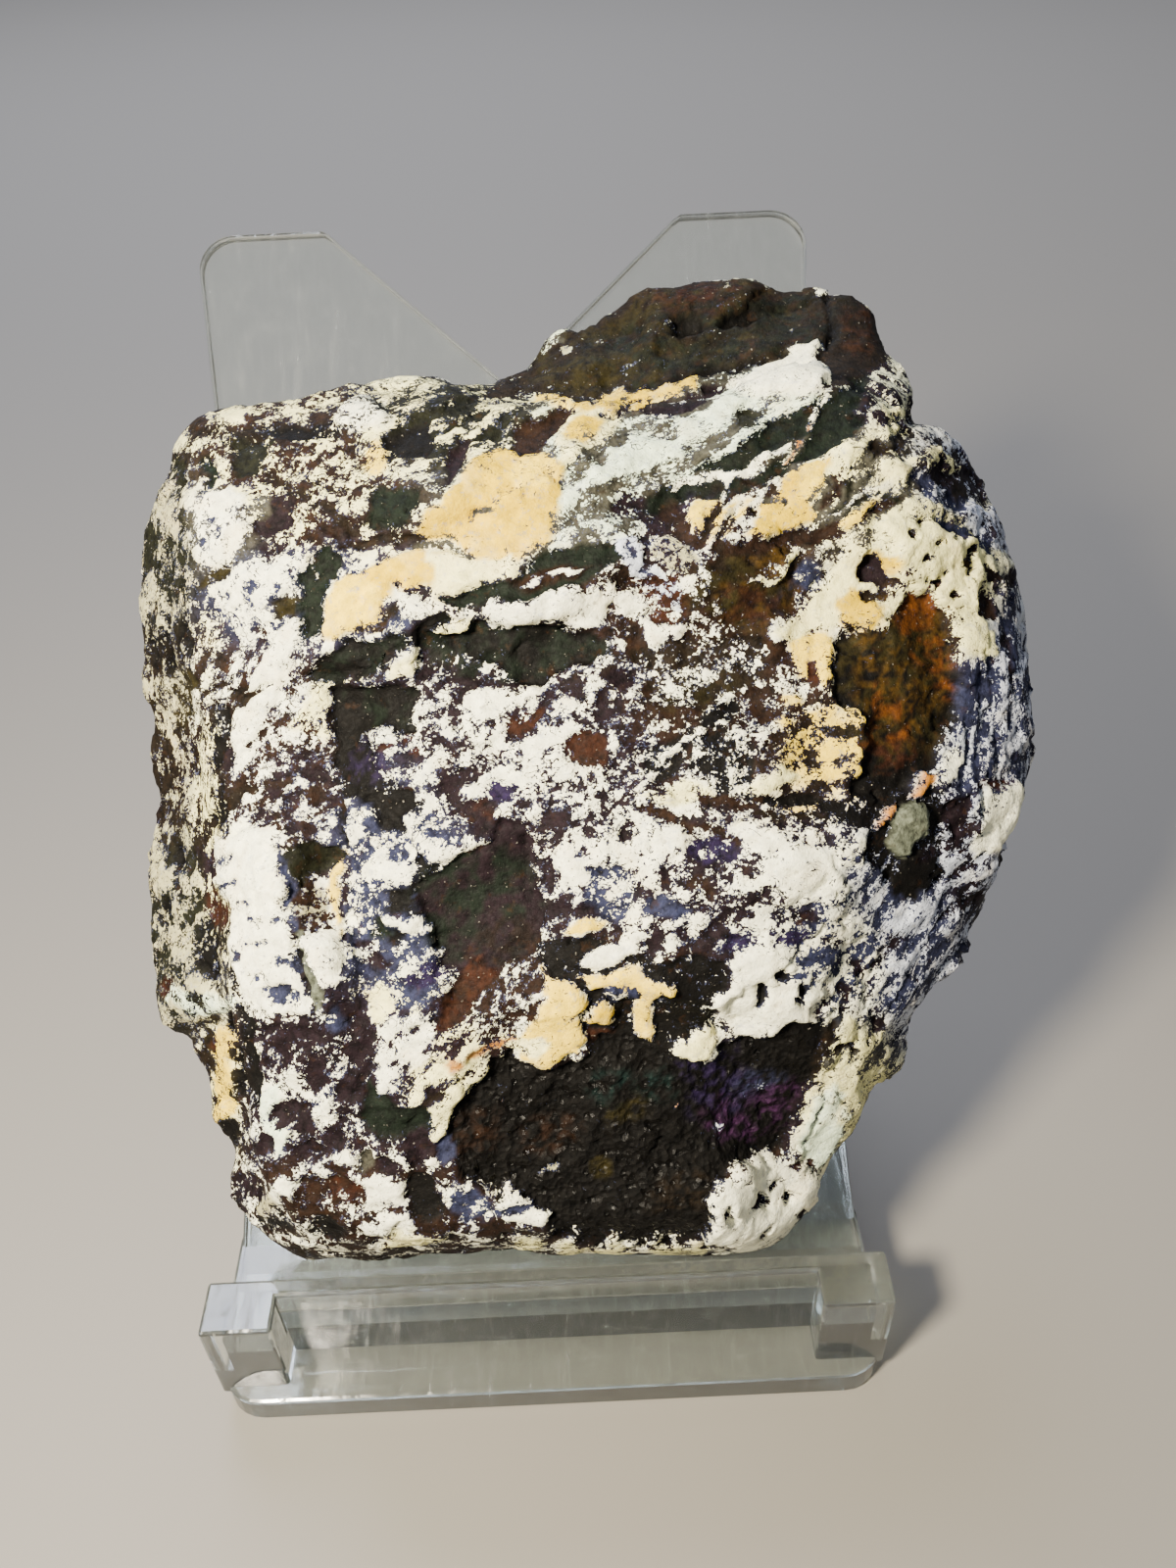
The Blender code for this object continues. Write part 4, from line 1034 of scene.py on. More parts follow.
# %% The middle of the face
def face_middle():
    for x, y, a, b, turn in [(462, 722, 16, 10, 20), (440, 738, 12, 8, 60), (480, 700, 30, 9, 0),
                             (474, 790, 18, 10, 20), (464, 812, 12, 16, 20), (452, 760, 8, 12, 60),
                             (560, 720, 8, 8, 30), (566, 700, 12, 5, 30), (592, 706, 9, 6, 0),
                             (626, 716, 14, 16, 0), (612, 726, 9, 10, 30), (642, 690, 22, 10, 0)]:
        bare("plum", in_blob(x, y, a, b, turn), 0.5, -0.3, 3.5)
    bare("plum", in_outline([(474, 820), (492, 806), (506, 816), (500, 842), (484, 850)]), 0.8, -0.3, 3)
    stain("rust", 0.6, in_blob(492, 826, 14, 18), 5)
    bare("violet", in_blob(514, 798, 18, 15, 0), 0.08, -0.2)
    bare("rust", on_line(11, (514, 736), (527, 744), (543, 742), (555, 724)), 0.8, -0.2, 3)
    crusted("white", in_outline([
        (498, 780), (530, 758), (575, 750), (600, 748), (596, 770), (572, 800), (540, 800), (505, 790)]),
        0.6, 0.3)
    crusted("white", in_outline([
        (470, 710), (500, 700), (545, 712), (520, 730), (505, 760), (470, 762)]), 0.5, 0.3)
    bare("rust", in_outline([
        (582, 758), (600, 750), (618, 756), (616, 778), (602, 788), (584, 778)]), 0.85, -0.3, 3.5)
    stain("brown", 0.9, in_blob(600, 778, 20, 10), 5)
    bare("plum", in_outline([
        (620, 770), (650, 755), (690, 758), (700, 785), (664, 800), (622, 796)]), 0.35, -0.4)
    bare("black", in_outline([(658, 766), (690, 752), (700, 772), (690, 796), (664, 800)]), 0.5, -0.4)
    crusted("white", on_line(6, (654, 806), (670, 784), (700, 752)), 0.6, 0.1, 3)
    bare("umber", in_outline([
        (640, 664), (700, 655), (780, 650), (776, 690), (730, 722), (680, 716), (650, 690)]), 0.35, -0.3)
    stain("moss", 0.8, in_blob(710, 705, 46, 22, 10), 8)
    bare("black", in_outline([(716, 732), (742, 712), (756, 716), (744, 738), (722, 744)]), 0.8, -0.3, 3)
    crusted("white", on_line(7, (722, 728), (738, 716), (752, 708)), 0.5, 0.1, 3)
    bare("rust", in_blob(716, 762, 17, 15), 0.6, -0.3)
    bare("black", in_outline([
        (700, 742), (740, 744), (770, 760), (764, 800), (730, 812), (704, 790)]), 0.3, -0.3)
    for stops in [[(655, 828), (680, 830), (706, 842)], [(696, 812), (730, 816), (772, 826)],
                  [(700, 850), (730, 846), (758, 858)], [(700, 900), (715, 900), (730, 912)]]:
        bare("brown", on_line(11, *stops), 0.75, -0.3, 3)
    crusted("ivory", in_outline([(660, 812), (700, 802), (728, 812), (700, 822)]), 0.7, 0.2)
    crusted("white", in_outline([
        (598, 866), (620, 842), (656, 840), (700, 842), (700, 868), (680, 880), (672, 905), (652, 906),
        (650, 880), (610, 884)]), 0.5, 0.3)
    bare("slate", in_outline([
        (655, 934), (664, 916), (676, 908), (700, 920), (706, 929), (698, 934)]), 0.55, -0.3, 3)
    for x, y, a, b, turn in [(726, 868, 30, 12, 0), (738, 888, 12, 8, -40), (750, 925, 14, 6, -20),
                             (732, 944, 12, 8, 50), (758, 960, 20, 10, 10), (784, 874, 14, 9, 20),
                             (790, 912, 18, 8, 15), (820, 938, 10, 6, 0), (828, 884, 9, 8, 0),
                             (812, 958, 22, 9, -10), (694, 956, 9, 7, -40), (640, 852, 8, 10, 0)]:
        bare("violet" if y in (868, 960, 958) else "plum", in_blob(x, y, a, b, turn), 0.4, -0.3, 3.5)
    bare("slate", in_outline([
        (600, 890), (628, 884), (646, 896), (644, 930), (616, 940), (598, 920)]), 0.15, -0.3)
    crusted("white", in_outline([(560, 862), (585, 864), (600, 880), (590, 900), (566, 906)]), 0.6, 0.3)
    crusted("white", in_outline([
        (760, 845), (800, 845), (812, 860), (850, 876), (870, 905), (850, 922), (800, 920), (780, 895),
        (770, 870)]), 0.75, 0.4)
    bare("plum", in_outline([
        (424, 902), (450, 880), (484, 868), (504, 846), (512, 836), (532, 836), (545, 870), (545, 900),
        (556, 930), (550, 960), (530, 980), (500, 990), (480, 1000), (450, 985), (440, 950), (430, 925)]),
        0.97, -0.9, 3)
    stain("green", 1.0, in_blob(488, 925, 66, 62), 12, 2.2)
    stain("umber", 0.7, in_blob(520, 960, 30, 30), 10)
    bare("rust", in_outline([
        (492, 972), (504, 990), (486, 1022), (465, 1045), (448, 1050), (452, 1020),
        (474, 990)]), 0.9, -0.4, 3)
    stain("brown", 0.8, in_blob(466, 1022, 18, 24), 6)
    crusted("white", on_line(6, (446, 890), (470, 872), (500, 852)), 0.6, 0, 3)
    for x, y, a, b, turn in [(578, 958, 22, 10, -20), (600, 930, 14, 6, 0), (570, 930, 12, 8, 0),
                             (667, 962, 9, 16, 0), (629, 966, 12, 5, 0), (590, 975, 12, 6, 30),
                             (560, 890, 7, 16, 0), (556, 845, 18, 14, 0)]:
        bare("plum", in_blob(x, y, a, b, turn), 0.6, -0.3, 3)


face_middle()
so_far("face middle")

# %% [markdown]
# Above the hollow the crust is cream and stands out in lumps, with a pitted white lump beside.

# %% The foot of the face
def face_foot():
    bare("black", in_outline([
        (545, 960), (600, 955), (660, 975), (745, 980), (740, 1010), (722, 1024), (740, 1050),
        (700, 1060), (672, 1080), (600, 1085), (600, 1040), (560, 1000)]), 0.7, -0.5)
    crusted("cream", in_outline([
        (553, 985), (562, 1002), (592, 1008), (600, 1022), (584, 1036), (600, 1042), (598, 1062),
        (584, 1074), (560, 1086), (578, 1098), (556, 1094), (520, 1066), (546, 1040),
        (560, 1018)]), 0.92, 0.4, 3)
    crusted("ivory", in_outline([
        (504, 1058), (530, 1054), (560, 1062), (548, 1076), (520, 1072)]), 0.8, 0.3, 3)
    crusted("white", in_outline([
        (588, 982), (606, 966), (650, 955), (652, 972), (622, 984), (600, 988)]), 0.85, 0.3, 3)
    crusted("cream", in_outline([
        (590, 998), (630, 988), (652, 985), (662, 998), (690, 1004), (690, 1016), (668, 1022),
        (668, 1070), (652, 1066), (648, 1044), (640, 1030), (652, 1014), (604, 1006)]), 0.8, 0.3, 3)
    crusted("cream", in_blob(600, 942, 20, 6, 12), 0.85, 0.3, 3)
    crusted("peach", in_outline([
        (602, 1040), (604, 1026), (618, 1020), (626, 1032), (618, 1044)]), 0.85, 0.4, 3)
    bare("slate", in_blob(634, 1012, 14, 9), 0.05, 0, 3)
    bare("rust", in_blob(614, 1063, 12, 9), 0.7, -0.2)
    crusted("ivory", in_outline([
        (684, 1066), (702, 1060), (732, 1050), (730, 1066), (712, 1080), (694, 1078)]), 0.9, 0.3, 3)
    crusted("white", in_outline([
        (724, 1020), (745, 1006), (750, 985), (765, 970), (792, 975), (816, 985), (804, 998), (822, 1012),
        (836, 1010), (852, 1030), (832, 1044), (802, 1046), (772, 1062), (746, 1046)]), 0.95, 0.5, 3)
    for x, y, a, b, turn in [(775, 1017, 6, 13, -10), (801, 996, 9, 6, 0), (820, 1008, 6, 7, 0),
                             (814, 1020, 9, 3, -30)]:
        bare("black", in_blob(x, y, a, b, turn), 0.95, -0.5, 2)
    bare("slate", in_blob(848, 984, 34, 22, 0), 0.04, 0)
    for x, y, a, b, turn in [(836, 1028, 11, 7, 40), (860, 1012, 7, 9, 0), (876, 990, 6, 12, 30),
                             (866, 1032, 8, 6, 0), (894, 1040, 6, 10, 30), (850, 962, 9, 5, 0)]:
        bare("plum", in_blob(x, y, a, b, turn), 0.35, -0.2, 3)


face_foot()
so_far("face foot")

# %% [markdown]
# A wide hollow at the foot is lined with small black crystals. Faint teal, violet, mauve and brown
# stains colour it, and the relief further down raises the crystals.

# %% The black hollow with its crystals
CAVITY = [
    (455, 1130), (470, 1115), (490, 1105), (500, 1080), (520, 1076), (540, 1090), (560, 1098),
    (600, 1080), (612, 1060), (640, 1055), (670, 1075), (690, 1075), (720, 1085), (740, 1065),
    (780, 1060), (800, 1050), (835, 1065), (830, 1095), (820, 1130), (800, 1165), (770, 1180),
    (750, 1190), (745, 1205), (728, 1210), (730, 1240), (720, 1262), (690, 1270), (650, 1272),
    (600, 1265), (565, 1262), (558, 1240), (530, 1230), (500, 1210), (480, 1205), (470, 1200),
    (462, 1165)]
in_cavity = smooth_step(in_outline(CAVITY), -3, 7) * (1 - hidden)


def hollow():
    bare("black", in_outline(CAVITY), 0.93, -0.8, 4)
    for tint, x, y, half in [("teal", 672, 1112, 14), ("violet", 722, 1082, 20), ("violet", 740, 1120, 24),
                             ("mauve", 760, 1140, 26), ("slate", 776, 1112, 16), ("mauve", 796, 1130, 18),
                             ("moss", 640, 1135, 14), ("brown", 480, 1160, 24), ("teal", 620, 1110, 18),
                             ("umber", 700, 1220, 24), ("brown", 560, 1160, 20)]:
        stain(tint, 0.9, in_blob(x, y, half * 1.4, half, 20), 8, 0.9)
    for tint, x, y, a, b, turn in [("tan", 511, 1110, 8, 5, 20), ("tan", 508, 1128, 4, 7, 10),
                                   ("ash", 556, 1196, 14, 6, 10), ("tan", 694, 1130, 3, 9, -25),
                                   ("haze", 780, 1112, 16, 9, 20), ("haze", 734, 1156, 12, 6, 30)]:
        crusted(tint, in_blob(x, y, a, b, turn), -0.12, -0.7, 4)
    bare("moss", in_blob(616, 1197, 9, 8), 0.9, -0.7, 3)


hollow()
so_far("hollow")

# %% [markdown]
# Left of the hollow the crust is torn into streaks and lumps over plum and rusty rock, down to the
# dark lower edge.

# %% Lower left
def lower_left():
    crusted("white", in_outline([
        (286, 1090), (300, 1080), (312, 1090), (302, 1112), (288, 1104)]), 0.85, 0.4)
    crusted("mint", in_outline([
        (262, 1118), (284, 1108), (290, 1140), (304, 1166), (288, 1176), (272, 1150)]), 0.85, 0.4)
    for x, y, a, b, turn in [(306, 1064, 20, 12, 30), (284, 1084, 10, 14, 0), (292, 1140, 9, 18, -10),
                             (312, 1130, 10, 10, 40), (326, 1096, 8, 22, 25), (365, 1080, 14, 28, 20),
                             (352, 1130, 9, 20, 10), (330, 1170, 24, 10, 20), (346, 1040, 12, 16, 0),
                             (276, 1052, 12, 7, 0), (270, 1165, 10, 8, 0)]:
        bare("plum", in_blob(x, y, a, b, turn), 0.5, -0.4, 3.5)
    bare("slate", in_blob(340, 1042, 9, 12, 0), 0.4, -0.3)
    crusted("white", in_outline([
        (318, 1136), (332, 1108), (346, 1112), (338, 1138), (326, 1150)]), 0.7, 0.3)
    bare("slate", on_line(5, (324, 1124), (334, 1116), (344, 1112)), 0.5, 0, 2.5)
    bare("green", in_outline([
        (374, 1108), (400, 1112), (404, 1132), (430, 1134), (446, 1148), (422, 1160), (384, 1166),
        (370, 1146)]),
        0.85, -0.6, 3.5)
    crusted("white", in_outline([
        (386, 1046), (408, 1044), (412, 1098), (392, 1112), (378, 1078)]), 0.75, 0.3)
    crusted("white", in_outline([
        (412, 1044), (440, 1030), (446, 1052), (436, 1082), (414, 1096)]), 0.75, 0.3)
    for x, y in [(398, 1066), (412, 1058), (420, 1086), (436, 1070), (404, 1084), (428, 1052)]:
        bare("plum", in_blob(x, y, 6, 4, 30), 0.8, -0.2, 2.5)
    for stops in [[(415, 1130), (440, 1104), (470, 1078)], [(430, 1136), (450, 1112), (480, 1092)]]:
        bare("umber", on_line(6, *stops), 0.5, -0.2, 3)
    for stops in [[(424, 1120), (450, 1090), (490, 1066)], [(438, 1150), (458, 1118), (492, 1098)],
                  [(446, 1160), (456, 1146), (458, 1136)]]:
        crusted("ivory", on_line(12, *stops), 0.75, 0.3)
    crusted("tan", in_blob(463, 1082, 10, 5, 12), 0.6, 0.1, 3)
    crusted("tan", on_line(7, (478, 1074), (500, 1066), (524, 1060)), 0.6, 0.1, 3)
    crusted("white", on_line(11, (340, 1186), (400, 1178), (462, 1192)), 0.8, 0.3)
    for tint, x, y, a, b, turn in [("grey", 372, 1186, 9, 8, 0), ("plum", 398, 1187, 13, 9, 10),
                                   ("plum", 428, 1174, 12, 18, 0), ("slate", 455, 1176, 8, 16, 0)]:
        bare(tint, in_blob(x, y, a, b, turn), 0.9, -0.4, 2.5)
    crusted("white", in_outline([
        (366, 1200), (392, 1200), (416, 1200), (414, 1222), (380, 1228), (366, 1216)]), 0.9, 0.4)
    crusted("white", in_outline([
        (366, 1258), (384, 1240), (412, 1234), (420, 1246), (396, 1258)]), 0.7, 0.3)
    bare("black", in_outline([
        (417, 1200), (440, 1198), (456, 1236), (444, 1252), (420, 1240)]), 0.9, -0.5, 3)
    bare("brown", in_outline([
        (300, 1206), (336, 1200), (372, 1206), (372, 1240), (330, 1244), (302, 1232)]), 0.5, -0.5)
    stain("rust", 1.0, in_blob(350, 1212, 26, 20), 8)
    bare("black", in_blob(334, 1254, 16, 9, 0), 0.85, -0.5)
    bare("plum", in_outline([(226, 1220), (244, 1196), (262, 1202), (262, 1236), (246, 1244)]), 0.5, -0.4)
    crusted("white", in_blob(290, 1204, 14, 8, 20), 0.6, 0.4)
    crusted("ash", in_blob(272, 1230, 10, 8, 40), 0.6, 0.4)
    bare("black", in_blob(280, 1250, 20, 7, 0), 0.7, -0.3)
    bare("slate", in_outline([
        (452, 1216), (484, 1212), (506, 1232), (500, 1246), (470, 1240)]), 0.3, -0.2)
    crusted("white", in_outline([
        (508, 1236), (520, 1212), (532, 1216), (546, 1232), (560, 1240), (552, 1250), (516, 1248)]), 0.8,
        0.3, 3)
    bare("slate", on_line(7, (506, 1240), (522, 1234), (538, 1232)), 0.6, -0.1, 2.5)
    crusted("ivory", on_line(13, (388, 1264), (420, 1262), (452, 1262)), 0.6, 0.2)
    bare("umber", on_line(16, (230, 1266), (330, 1284), (480, 1286), (640, 1290), (720, 1284)), 0.6, 0, 4)
    for x, y, a in [(540, 1268, 14), (582, 1274, 13), (622, 1277, 18), (684, 1278, 16), (712, 1274, 10)]:
        crusted("ivory", in_blob(x, y, a, 6), 0.6, 0.2, 4)


lower_left()
so_far("lower left")

# %% [markdown]
# Right of the hollow a white lump with pits closes it, and cream and mint beds climb the flank.

# %% Lower right
def lower_right():
    crusted("white", in_outline([
        (722, 1226), (734, 1204), (746, 1216), (760, 1190), (800, 1178), (828, 1198), (834, 1232),
        (798, 1256), (786, 1272), (768, 1276), (745, 1288), (722, 1262)]), 0.8, 0.7)
    for x, y, a, b in [(772, 1222, 8, 9), (742, 1276, 8, 9), (724, 1268, 6, 7), (742, 1236, 5, 8),
                       (800, 1220, 7, 4), (814, 1236, 5, 6), (776, 1258, 5, 9), (788, 1206, 6, 4)]:
        bare("plum", in_blob(x, y, a, b), 0.7, -0.4, 3)
    bare("black", in_outline([
        (800, 1050), (842, 1042), (842, 1062), (836, 1092), (816, 1096), (800, 1080)]), 0.9, -0.7, 3)
    bare("umber", on_line(10, (832, 1098), (842, 1066), (852, 1046)), 0.85, -0.3, 3)
    bare("umber", on_line(10, (848, 1076), (866, 1064), (890, 1056)), 0.9, -0.3, 3)
    crusted("ivory", in_outline([(850, 1066), (868, 1034), (875, 1052), (860, 1066)]), 0.9, 0.3, 3)
    crusted("ivory", in_outline([(870, 1062), (900, 1050), (902, 1062), (884, 1074)]), 0.8, 0.3, 3)
    crusted("ivory", in_outline([
        (858, 1084), (876, 1076), (876, 1110), (868, 1134), (854, 1120)]), 0.8, 0.3)
    crusted("mint", in_outline([
        (836, 1120), (856, 1108), (860, 1140), (852, 1166), (836, 1186), (812, 1184),
        (816, 1160)]), 0.85, 0.3)
    bare("grey", on_line(6, (820, 1170), (838, 1136), (850, 1104)), 0.3, -0.1, 3)
    bare("plum", on_line(9, (800, 1172), (816, 1140), (834, 1104)), 0.2, -0.2)
    bare("rust", in_blob(812, 1186, 8, 4, 20), 0.4, 0)


lower_right()
so_far("lower right")

# %% [markdown]
# ## Relief
# The crust is a thin skin, so it is lifted a little off the rock. Marks add their own depth, and
# fine lumps and slightly tilted plates break every smooth face. Where the specimen stands against
# its easel nothing may swell, so the relief fades out there.

# %% Raise the crust
LEAN = math.radians(39.6)
STONE_RISE = 56.7
STONE_MIDDLE = np.array([6.0, 3.5 + STONE_RISE * math.sin(LEAN) - 35.2, STONE_RISE * math.cos(LEAN)])
out = np.array([0.0, -math.cos(LEAN), math.sin(LEAN)])
up = np.array([0.0, math.sin(LEAN), math.cos(LEAN)])
off_plate = (spot - STONE_MIDDLE) @ out
along_plate = (spot - STONE_MIDDLE) @ up


def broken_plates(size, step, slant, seed):
    """Plates about as wide as size, each a little higher or lower and tilted its own way."""
    place = (spot + 0.25 * size * np.stack([grain(spot, size * 0.5, seed + i) for i in range(3)], 1)) / size
    base = np.floor(place).astype(np.int64)
    best, value = np.full(count, 1e9), np.zeros(count)
    for move in np.ndindex(3, 3, 3):
        corner = base + np.array(move) - 1
        jitter = np.stack([lattice_value(corner, seed + 11 + axis) for axis in range(3)], axis=1) * 0.45
        away = place - (corner + 0.5 + jitter)
        distance = np.einsum("ij,ij->i", away, away)
        tilt_way = np.stack([lattice_value(corner, seed + 21 + axis) for axis in range(3)], axis=1)
        level = step * lattice_value(corner, seed + 31) + slant * size * np.einsum("ij,ij->i", away, tilt_way)
        value = np.where(distance < best, level, value)
        best = np.minimum(best, distance)
    return value


# heights and sizes in millimetres
SKIN = 0.07
FLECK_RISE = 0.06
LUMP, LUMP_RISE, CRUST_LUMP_RISE = 2.0, 0.08, 0.10
PLATE, PLATE_STEP, PLATE_SLANT = 3.6, 0.09, 0.10
CRYSTAL, SMALL_CRYSTAL, CRYSTAL_RISE, HOLLOW_DEPTH = 1.7, 0.9, 0.45, 0.3
coat = cover + 0.95 * flecks * (1.0 - np.clip(np.abs(cover), 0, 1))
relief = height + SKIN * smooth_step(coat, -0.06, 0.16) + FLECK_RISE * np.clip(flecks, -0.8, 0.8)
lump_rise = LUMP_RISE + CRUST_LUMP_RISE * smooth_step(coat, 0.0, 0.5)
relief += lump_rise * layered(spot, LUMP, 301, 3, 0.55) + broken_plates(PLATE, PLATE_STEP, PLATE_SLANT, 321)
crystal = np.abs(grain(spot, CRYSTAL, 311)) + 0.6 * np.abs(grain(spot, SMALL_CRYSTAL, 312))
relief += in_cavity * (CRYSTAL_RISE * crystal - HOLLOW_DEPTH)
against_easel = (1 - smooth_step(off_plate, 1.0, 5.0))
on_bar = (1 - smooth_step(along_plate, -43.0, -38.0)) * (1 - smooth_step(off_plate, 16.0, 20.0))
relief = np.where(relief > 0, relief * (1 - np.maximum(against_easel, on_bar)), relief)
places += normals * (relief * MM)[:, None]
block.data.vertices.foreach_set("co", places.ravel())
block.data.update()
print("relief from", round(float(relief.min()), 2), "to", round(float(relief.max()), 2), "mm")

# %% Keep the colours on the mesh
def keep(name, kind, values):
    attribute = block.data.attributes.new(name, kind, "POINT")
    field = "value" if kind == "FLOAT" else "color"
    attribute.data.foreach_set(field, values.astype(np.float32).ravel())


ones = np.ones((count, 1))
keep("coat", "FLOAT", coat)
keep("speckle", "FLOAT", speckle)
keep("glint", "FLOAT", np.maximum(in_cavity, 0.25 * hidden))
keep("streaks", "FLOAT_COLOR", np.hstack([streaks, ones]))
keep("rock_tint", "FLOAT_COLOR", np.hstack([rock, ones]))
keep("crust_tint", "FLOAT_COLOR", np.hstack([crust, ones]))
print("attributes:", [a.name for a in block.data.attributes if not a.name.startswith(".")])

# %% [markdown]
# ## The finish of the rock
# Chalky crust scatters light, so it is matt. The rock is a hard, dense mix with small crystals that
# glint where it is black. The mesh carries the broad pattern. Noise and broken cells, from about a
# millimetre down to a fifth, give the torn, chipped and powdery edge between crust and rock, drawn
# out where the beds are streaky.

# %% Grain and streaks in the finish
# sizes in millimetres: the torn edge, its drawn-out streaks, chips of two sizes and powder
TORN, STREAK, SHARD, CHIP, POWDER = 0.75, 0.60, 1.1, 0.42, 0.22
# a streak is this many times longer than wide, and this much deeper
STREAK_SHAPE = (5.0, 1.0, 1.6)


def torn_pattern(tree, place, streaks):
    """Uneven pattern round 0.5, drawn out along the streaks, and the thin seams that follow them."""
    pattern = add(tree, "ShaderNodeTexNoise", {"Vector": place, "Scale": 1.0 / (TORN * MM), "Detail": 4.0,
                                               "Roughness": 0.75, "Distortion": 0.3}).outputs["Fac"]
    seams = 0.0
    weights = add(tree, "ShaderNodeSeparateColor", {"Color": streaks})
    for channel, direction in zip(("Red", "Green", "Blue"), STREAKS):
        share = weights.outputs[channel]
        turn = Matrix.Rotation(math.pi / 2 - LEAN, 3, "X") @ Matrix.Rotation(math.radians(direction), 3, "Z")
        drawn = add(tree, "ShaderNodeMapping", {"Vector": place, "Rotation": turn.to_euler(),
                                                "Scale": STREAK_SHAPE}, vector_type="TEXTURE")
        streak = add(tree, "ShaderNodeTexNoise", {
            "Vector": drawn.outputs["Vector"], "Scale": 1.0 / (STREAK * MM), "Detail": 3.0,
            "Roughness": 0.72}).outputs["Fac"]
        left = add(tree, "ShaderNodeMath", {0: 1.0, 1: share}, operation="SUBTRACT").outputs["Value"]
        kept = add(tree, "ShaderNodeMath", {0: pattern, 1: left}, operation="MULTIPLY").outputs["Value"]
        pattern = add(tree, "ShaderNodeMath", {0: streak, 1: share, 2: kept},
                      operation="MULTIPLY_ADD").outputs["Value"]
        away = add(tree, "ShaderNodeMath", {0: streak, 1: 0.52}, operation="SUBTRACT").outputs["Value"]
        away = add(tree, "ShaderNodeMath", {0: away}, operation="ABSOLUTE").outputs["Value"]
        seam = add(tree, "ShaderNodeMapRange", {"Value": away, "From Max": 0.04, "To Min": 1.0,
                                                "To Max": 0.0}, interpolation_type="SMOOTHSTEP")
        seams = add(tree, "ShaderNodeMath", {0: seam.outputs["Result"], 1: share, 2: seams},
                    operation="MULTIPLY_ADD").outputs["Value"]
    return pattern, seams


def chipped(tree, place, pattern):
    """Adds angular shards, small chips and powder to the pattern, as steps up and down from 0."""
    bend = add(tree, "ShaderNodeTexNoise", {"Vector": place, "Scale": 1.0 / (0.8 * MM), "Detail": 2.0})
    bend = add(tree, "ShaderNodeVectorMath", {0: bend.outputs["Color"], 1: (0.9 * MM,) * 3},
               operation="MULTIPLY")
    bent = add(tree, "ShaderNodeVectorMath", {0: bend.outputs["Vector"], 1: place}, operation="ADD")
    bent = bent.outputs["Vector"]
    shards = add(tree, "ShaderNodeTexVoronoi", {"Vector": bent, "Scale": 1.0 / (SHARD * MM)})
    shard = add(tree, "ShaderNodeSeparateColor", {"Color": shards.outputs["Color"]}).outputs["Red"]
    chips = add(tree, "ShaderNodeTexVoronoi", {"Vector": bent, "Scale": 1.0 / (CHIP * MM)})
    chip = add(tree, "ShaderNodeSeparateColor", {"Color": chips.outputs["Color"]}).outputs["Green"]
    powder = add(tree, "ShaderNodeTexNoise", {"Vector": place, "Scale": 1.0 / (POWDER * MM), "Detail": 1.0,
                                              "Roughness": 0.7}).outputs["Fac"]
    broken = 0.0
    for value, strength in ((pattern, 4.6), (shard, 1.1), (chip, 0.8), (powder, 2.4)):
        step = add(tree, "ShaderNodeMath", {0: value, 1: 0.5}, operation="SUBTRACT").outputs["Value"]
        broken = add(tree, "ShaderNodeMath", {0: step, 1: strength, 2: broken},
                     operation="MULTIPLY_ADD").outputs["Value"]
    return broken


def hairline(tree, place, size_mm, width, shift):
    """Thin lines where a noise crosses its middle, in patches, 1 on the line and 0 beside it."""
    moved = add(tree, "ShaderNodeVectorMath", {0: place, 1: (shift * MM,) * 3}, operation="ADD")
    moved = moved.outputs["Vector"]
    sheet = add(tree, "ShaderNodeTexNoise", {"Vector": moved, "Scale": 1.0 / (size_mm * MM), "Detail": 2.0,
                                             "Roughness": 0.6, "Distortion": 0.5}).outputs["Fac"]
    away = add(tree, "ShaderNodeMath", {0: sheet, 1: 0.5}, operation="SUBTRACT").outputs["Value"]
    away = add(tree, "ShaderNodeMath", {0: away}, operation="ABSOLUTE").outputs["Value"]
    line = add(tree, "ShaderNodeMapRange", {"Value": away, "From Max": width, "To Min": 1.0, "To Max": 0.0},
               interpolation_type="SMOOTHSTEP").outputs["Result"]
    patches = add(tree, "ShaderNodeTexNoise", {"Vector": moved, "Scale": 1.0 / (3.2 * MM), "Detail": 2.0,
                                               "Roughness": 0.5}).outputs["Fac"]
    where = add(tree, "ShaderNodeMapRange", {"Value": patches, "From Min": 0.45, "From Max": 0.6},
                interpolation_type="SMOOTHSTEP").outputs["Result"]
    return add(tree, "ShaderNodeMath", {0: line, 1: where}, operation="MULTIPLY").outputs["Value"]


print("torn edge", TORN, "mm, powder", POWDER, "mm")

# %% [markdown]
# The colours of rock and crust come from the marks. Each is then shaded and spotted by noise whose
# sizes are those of grains in such rock: a third of a millimetre to a few millimetres.

# %% Colours of the finish
# size in mm, detail, roughness, low, high, most, colour
CRUST_SPOTS = [
    (3.5, 3.0, 0.6, 0.50, 0.75, 0.35, "E3CF9A"),
    (0.5, 3.0, 0.6, 0.60, 0.70, 0.60, "8A8470"),
    (0.7, 3.0, 0.75, 0.56, 0.68, 0.35, "8C93AC"),
]


def shaded(tree, place, tint, size_mm, low, high, darkest, brightest):
    """A tint made darker and lighter by noise of one size."""
    grains = add(tree, "ShaderNodeTexNoise", {"Vector": place, "Scale": 1.0 / (size_mm * MM), "Detail": 4.0,
                                              "Roughness": 0.72}).outputs["Fac"]
    shade = add(tree, "ShaderNodeMapRange", {"Value": grains, "From Min": low, "From Max": high,
                                             "To Min": darkest, "To Max": brightest})
    return add(tree, "ShaderNodeMix", {0: 1.0, 6: tint, 7: shade.outputs["Result"]}, data_type="RGBA",
               blend_type="MULTIPLY").outputs[2]


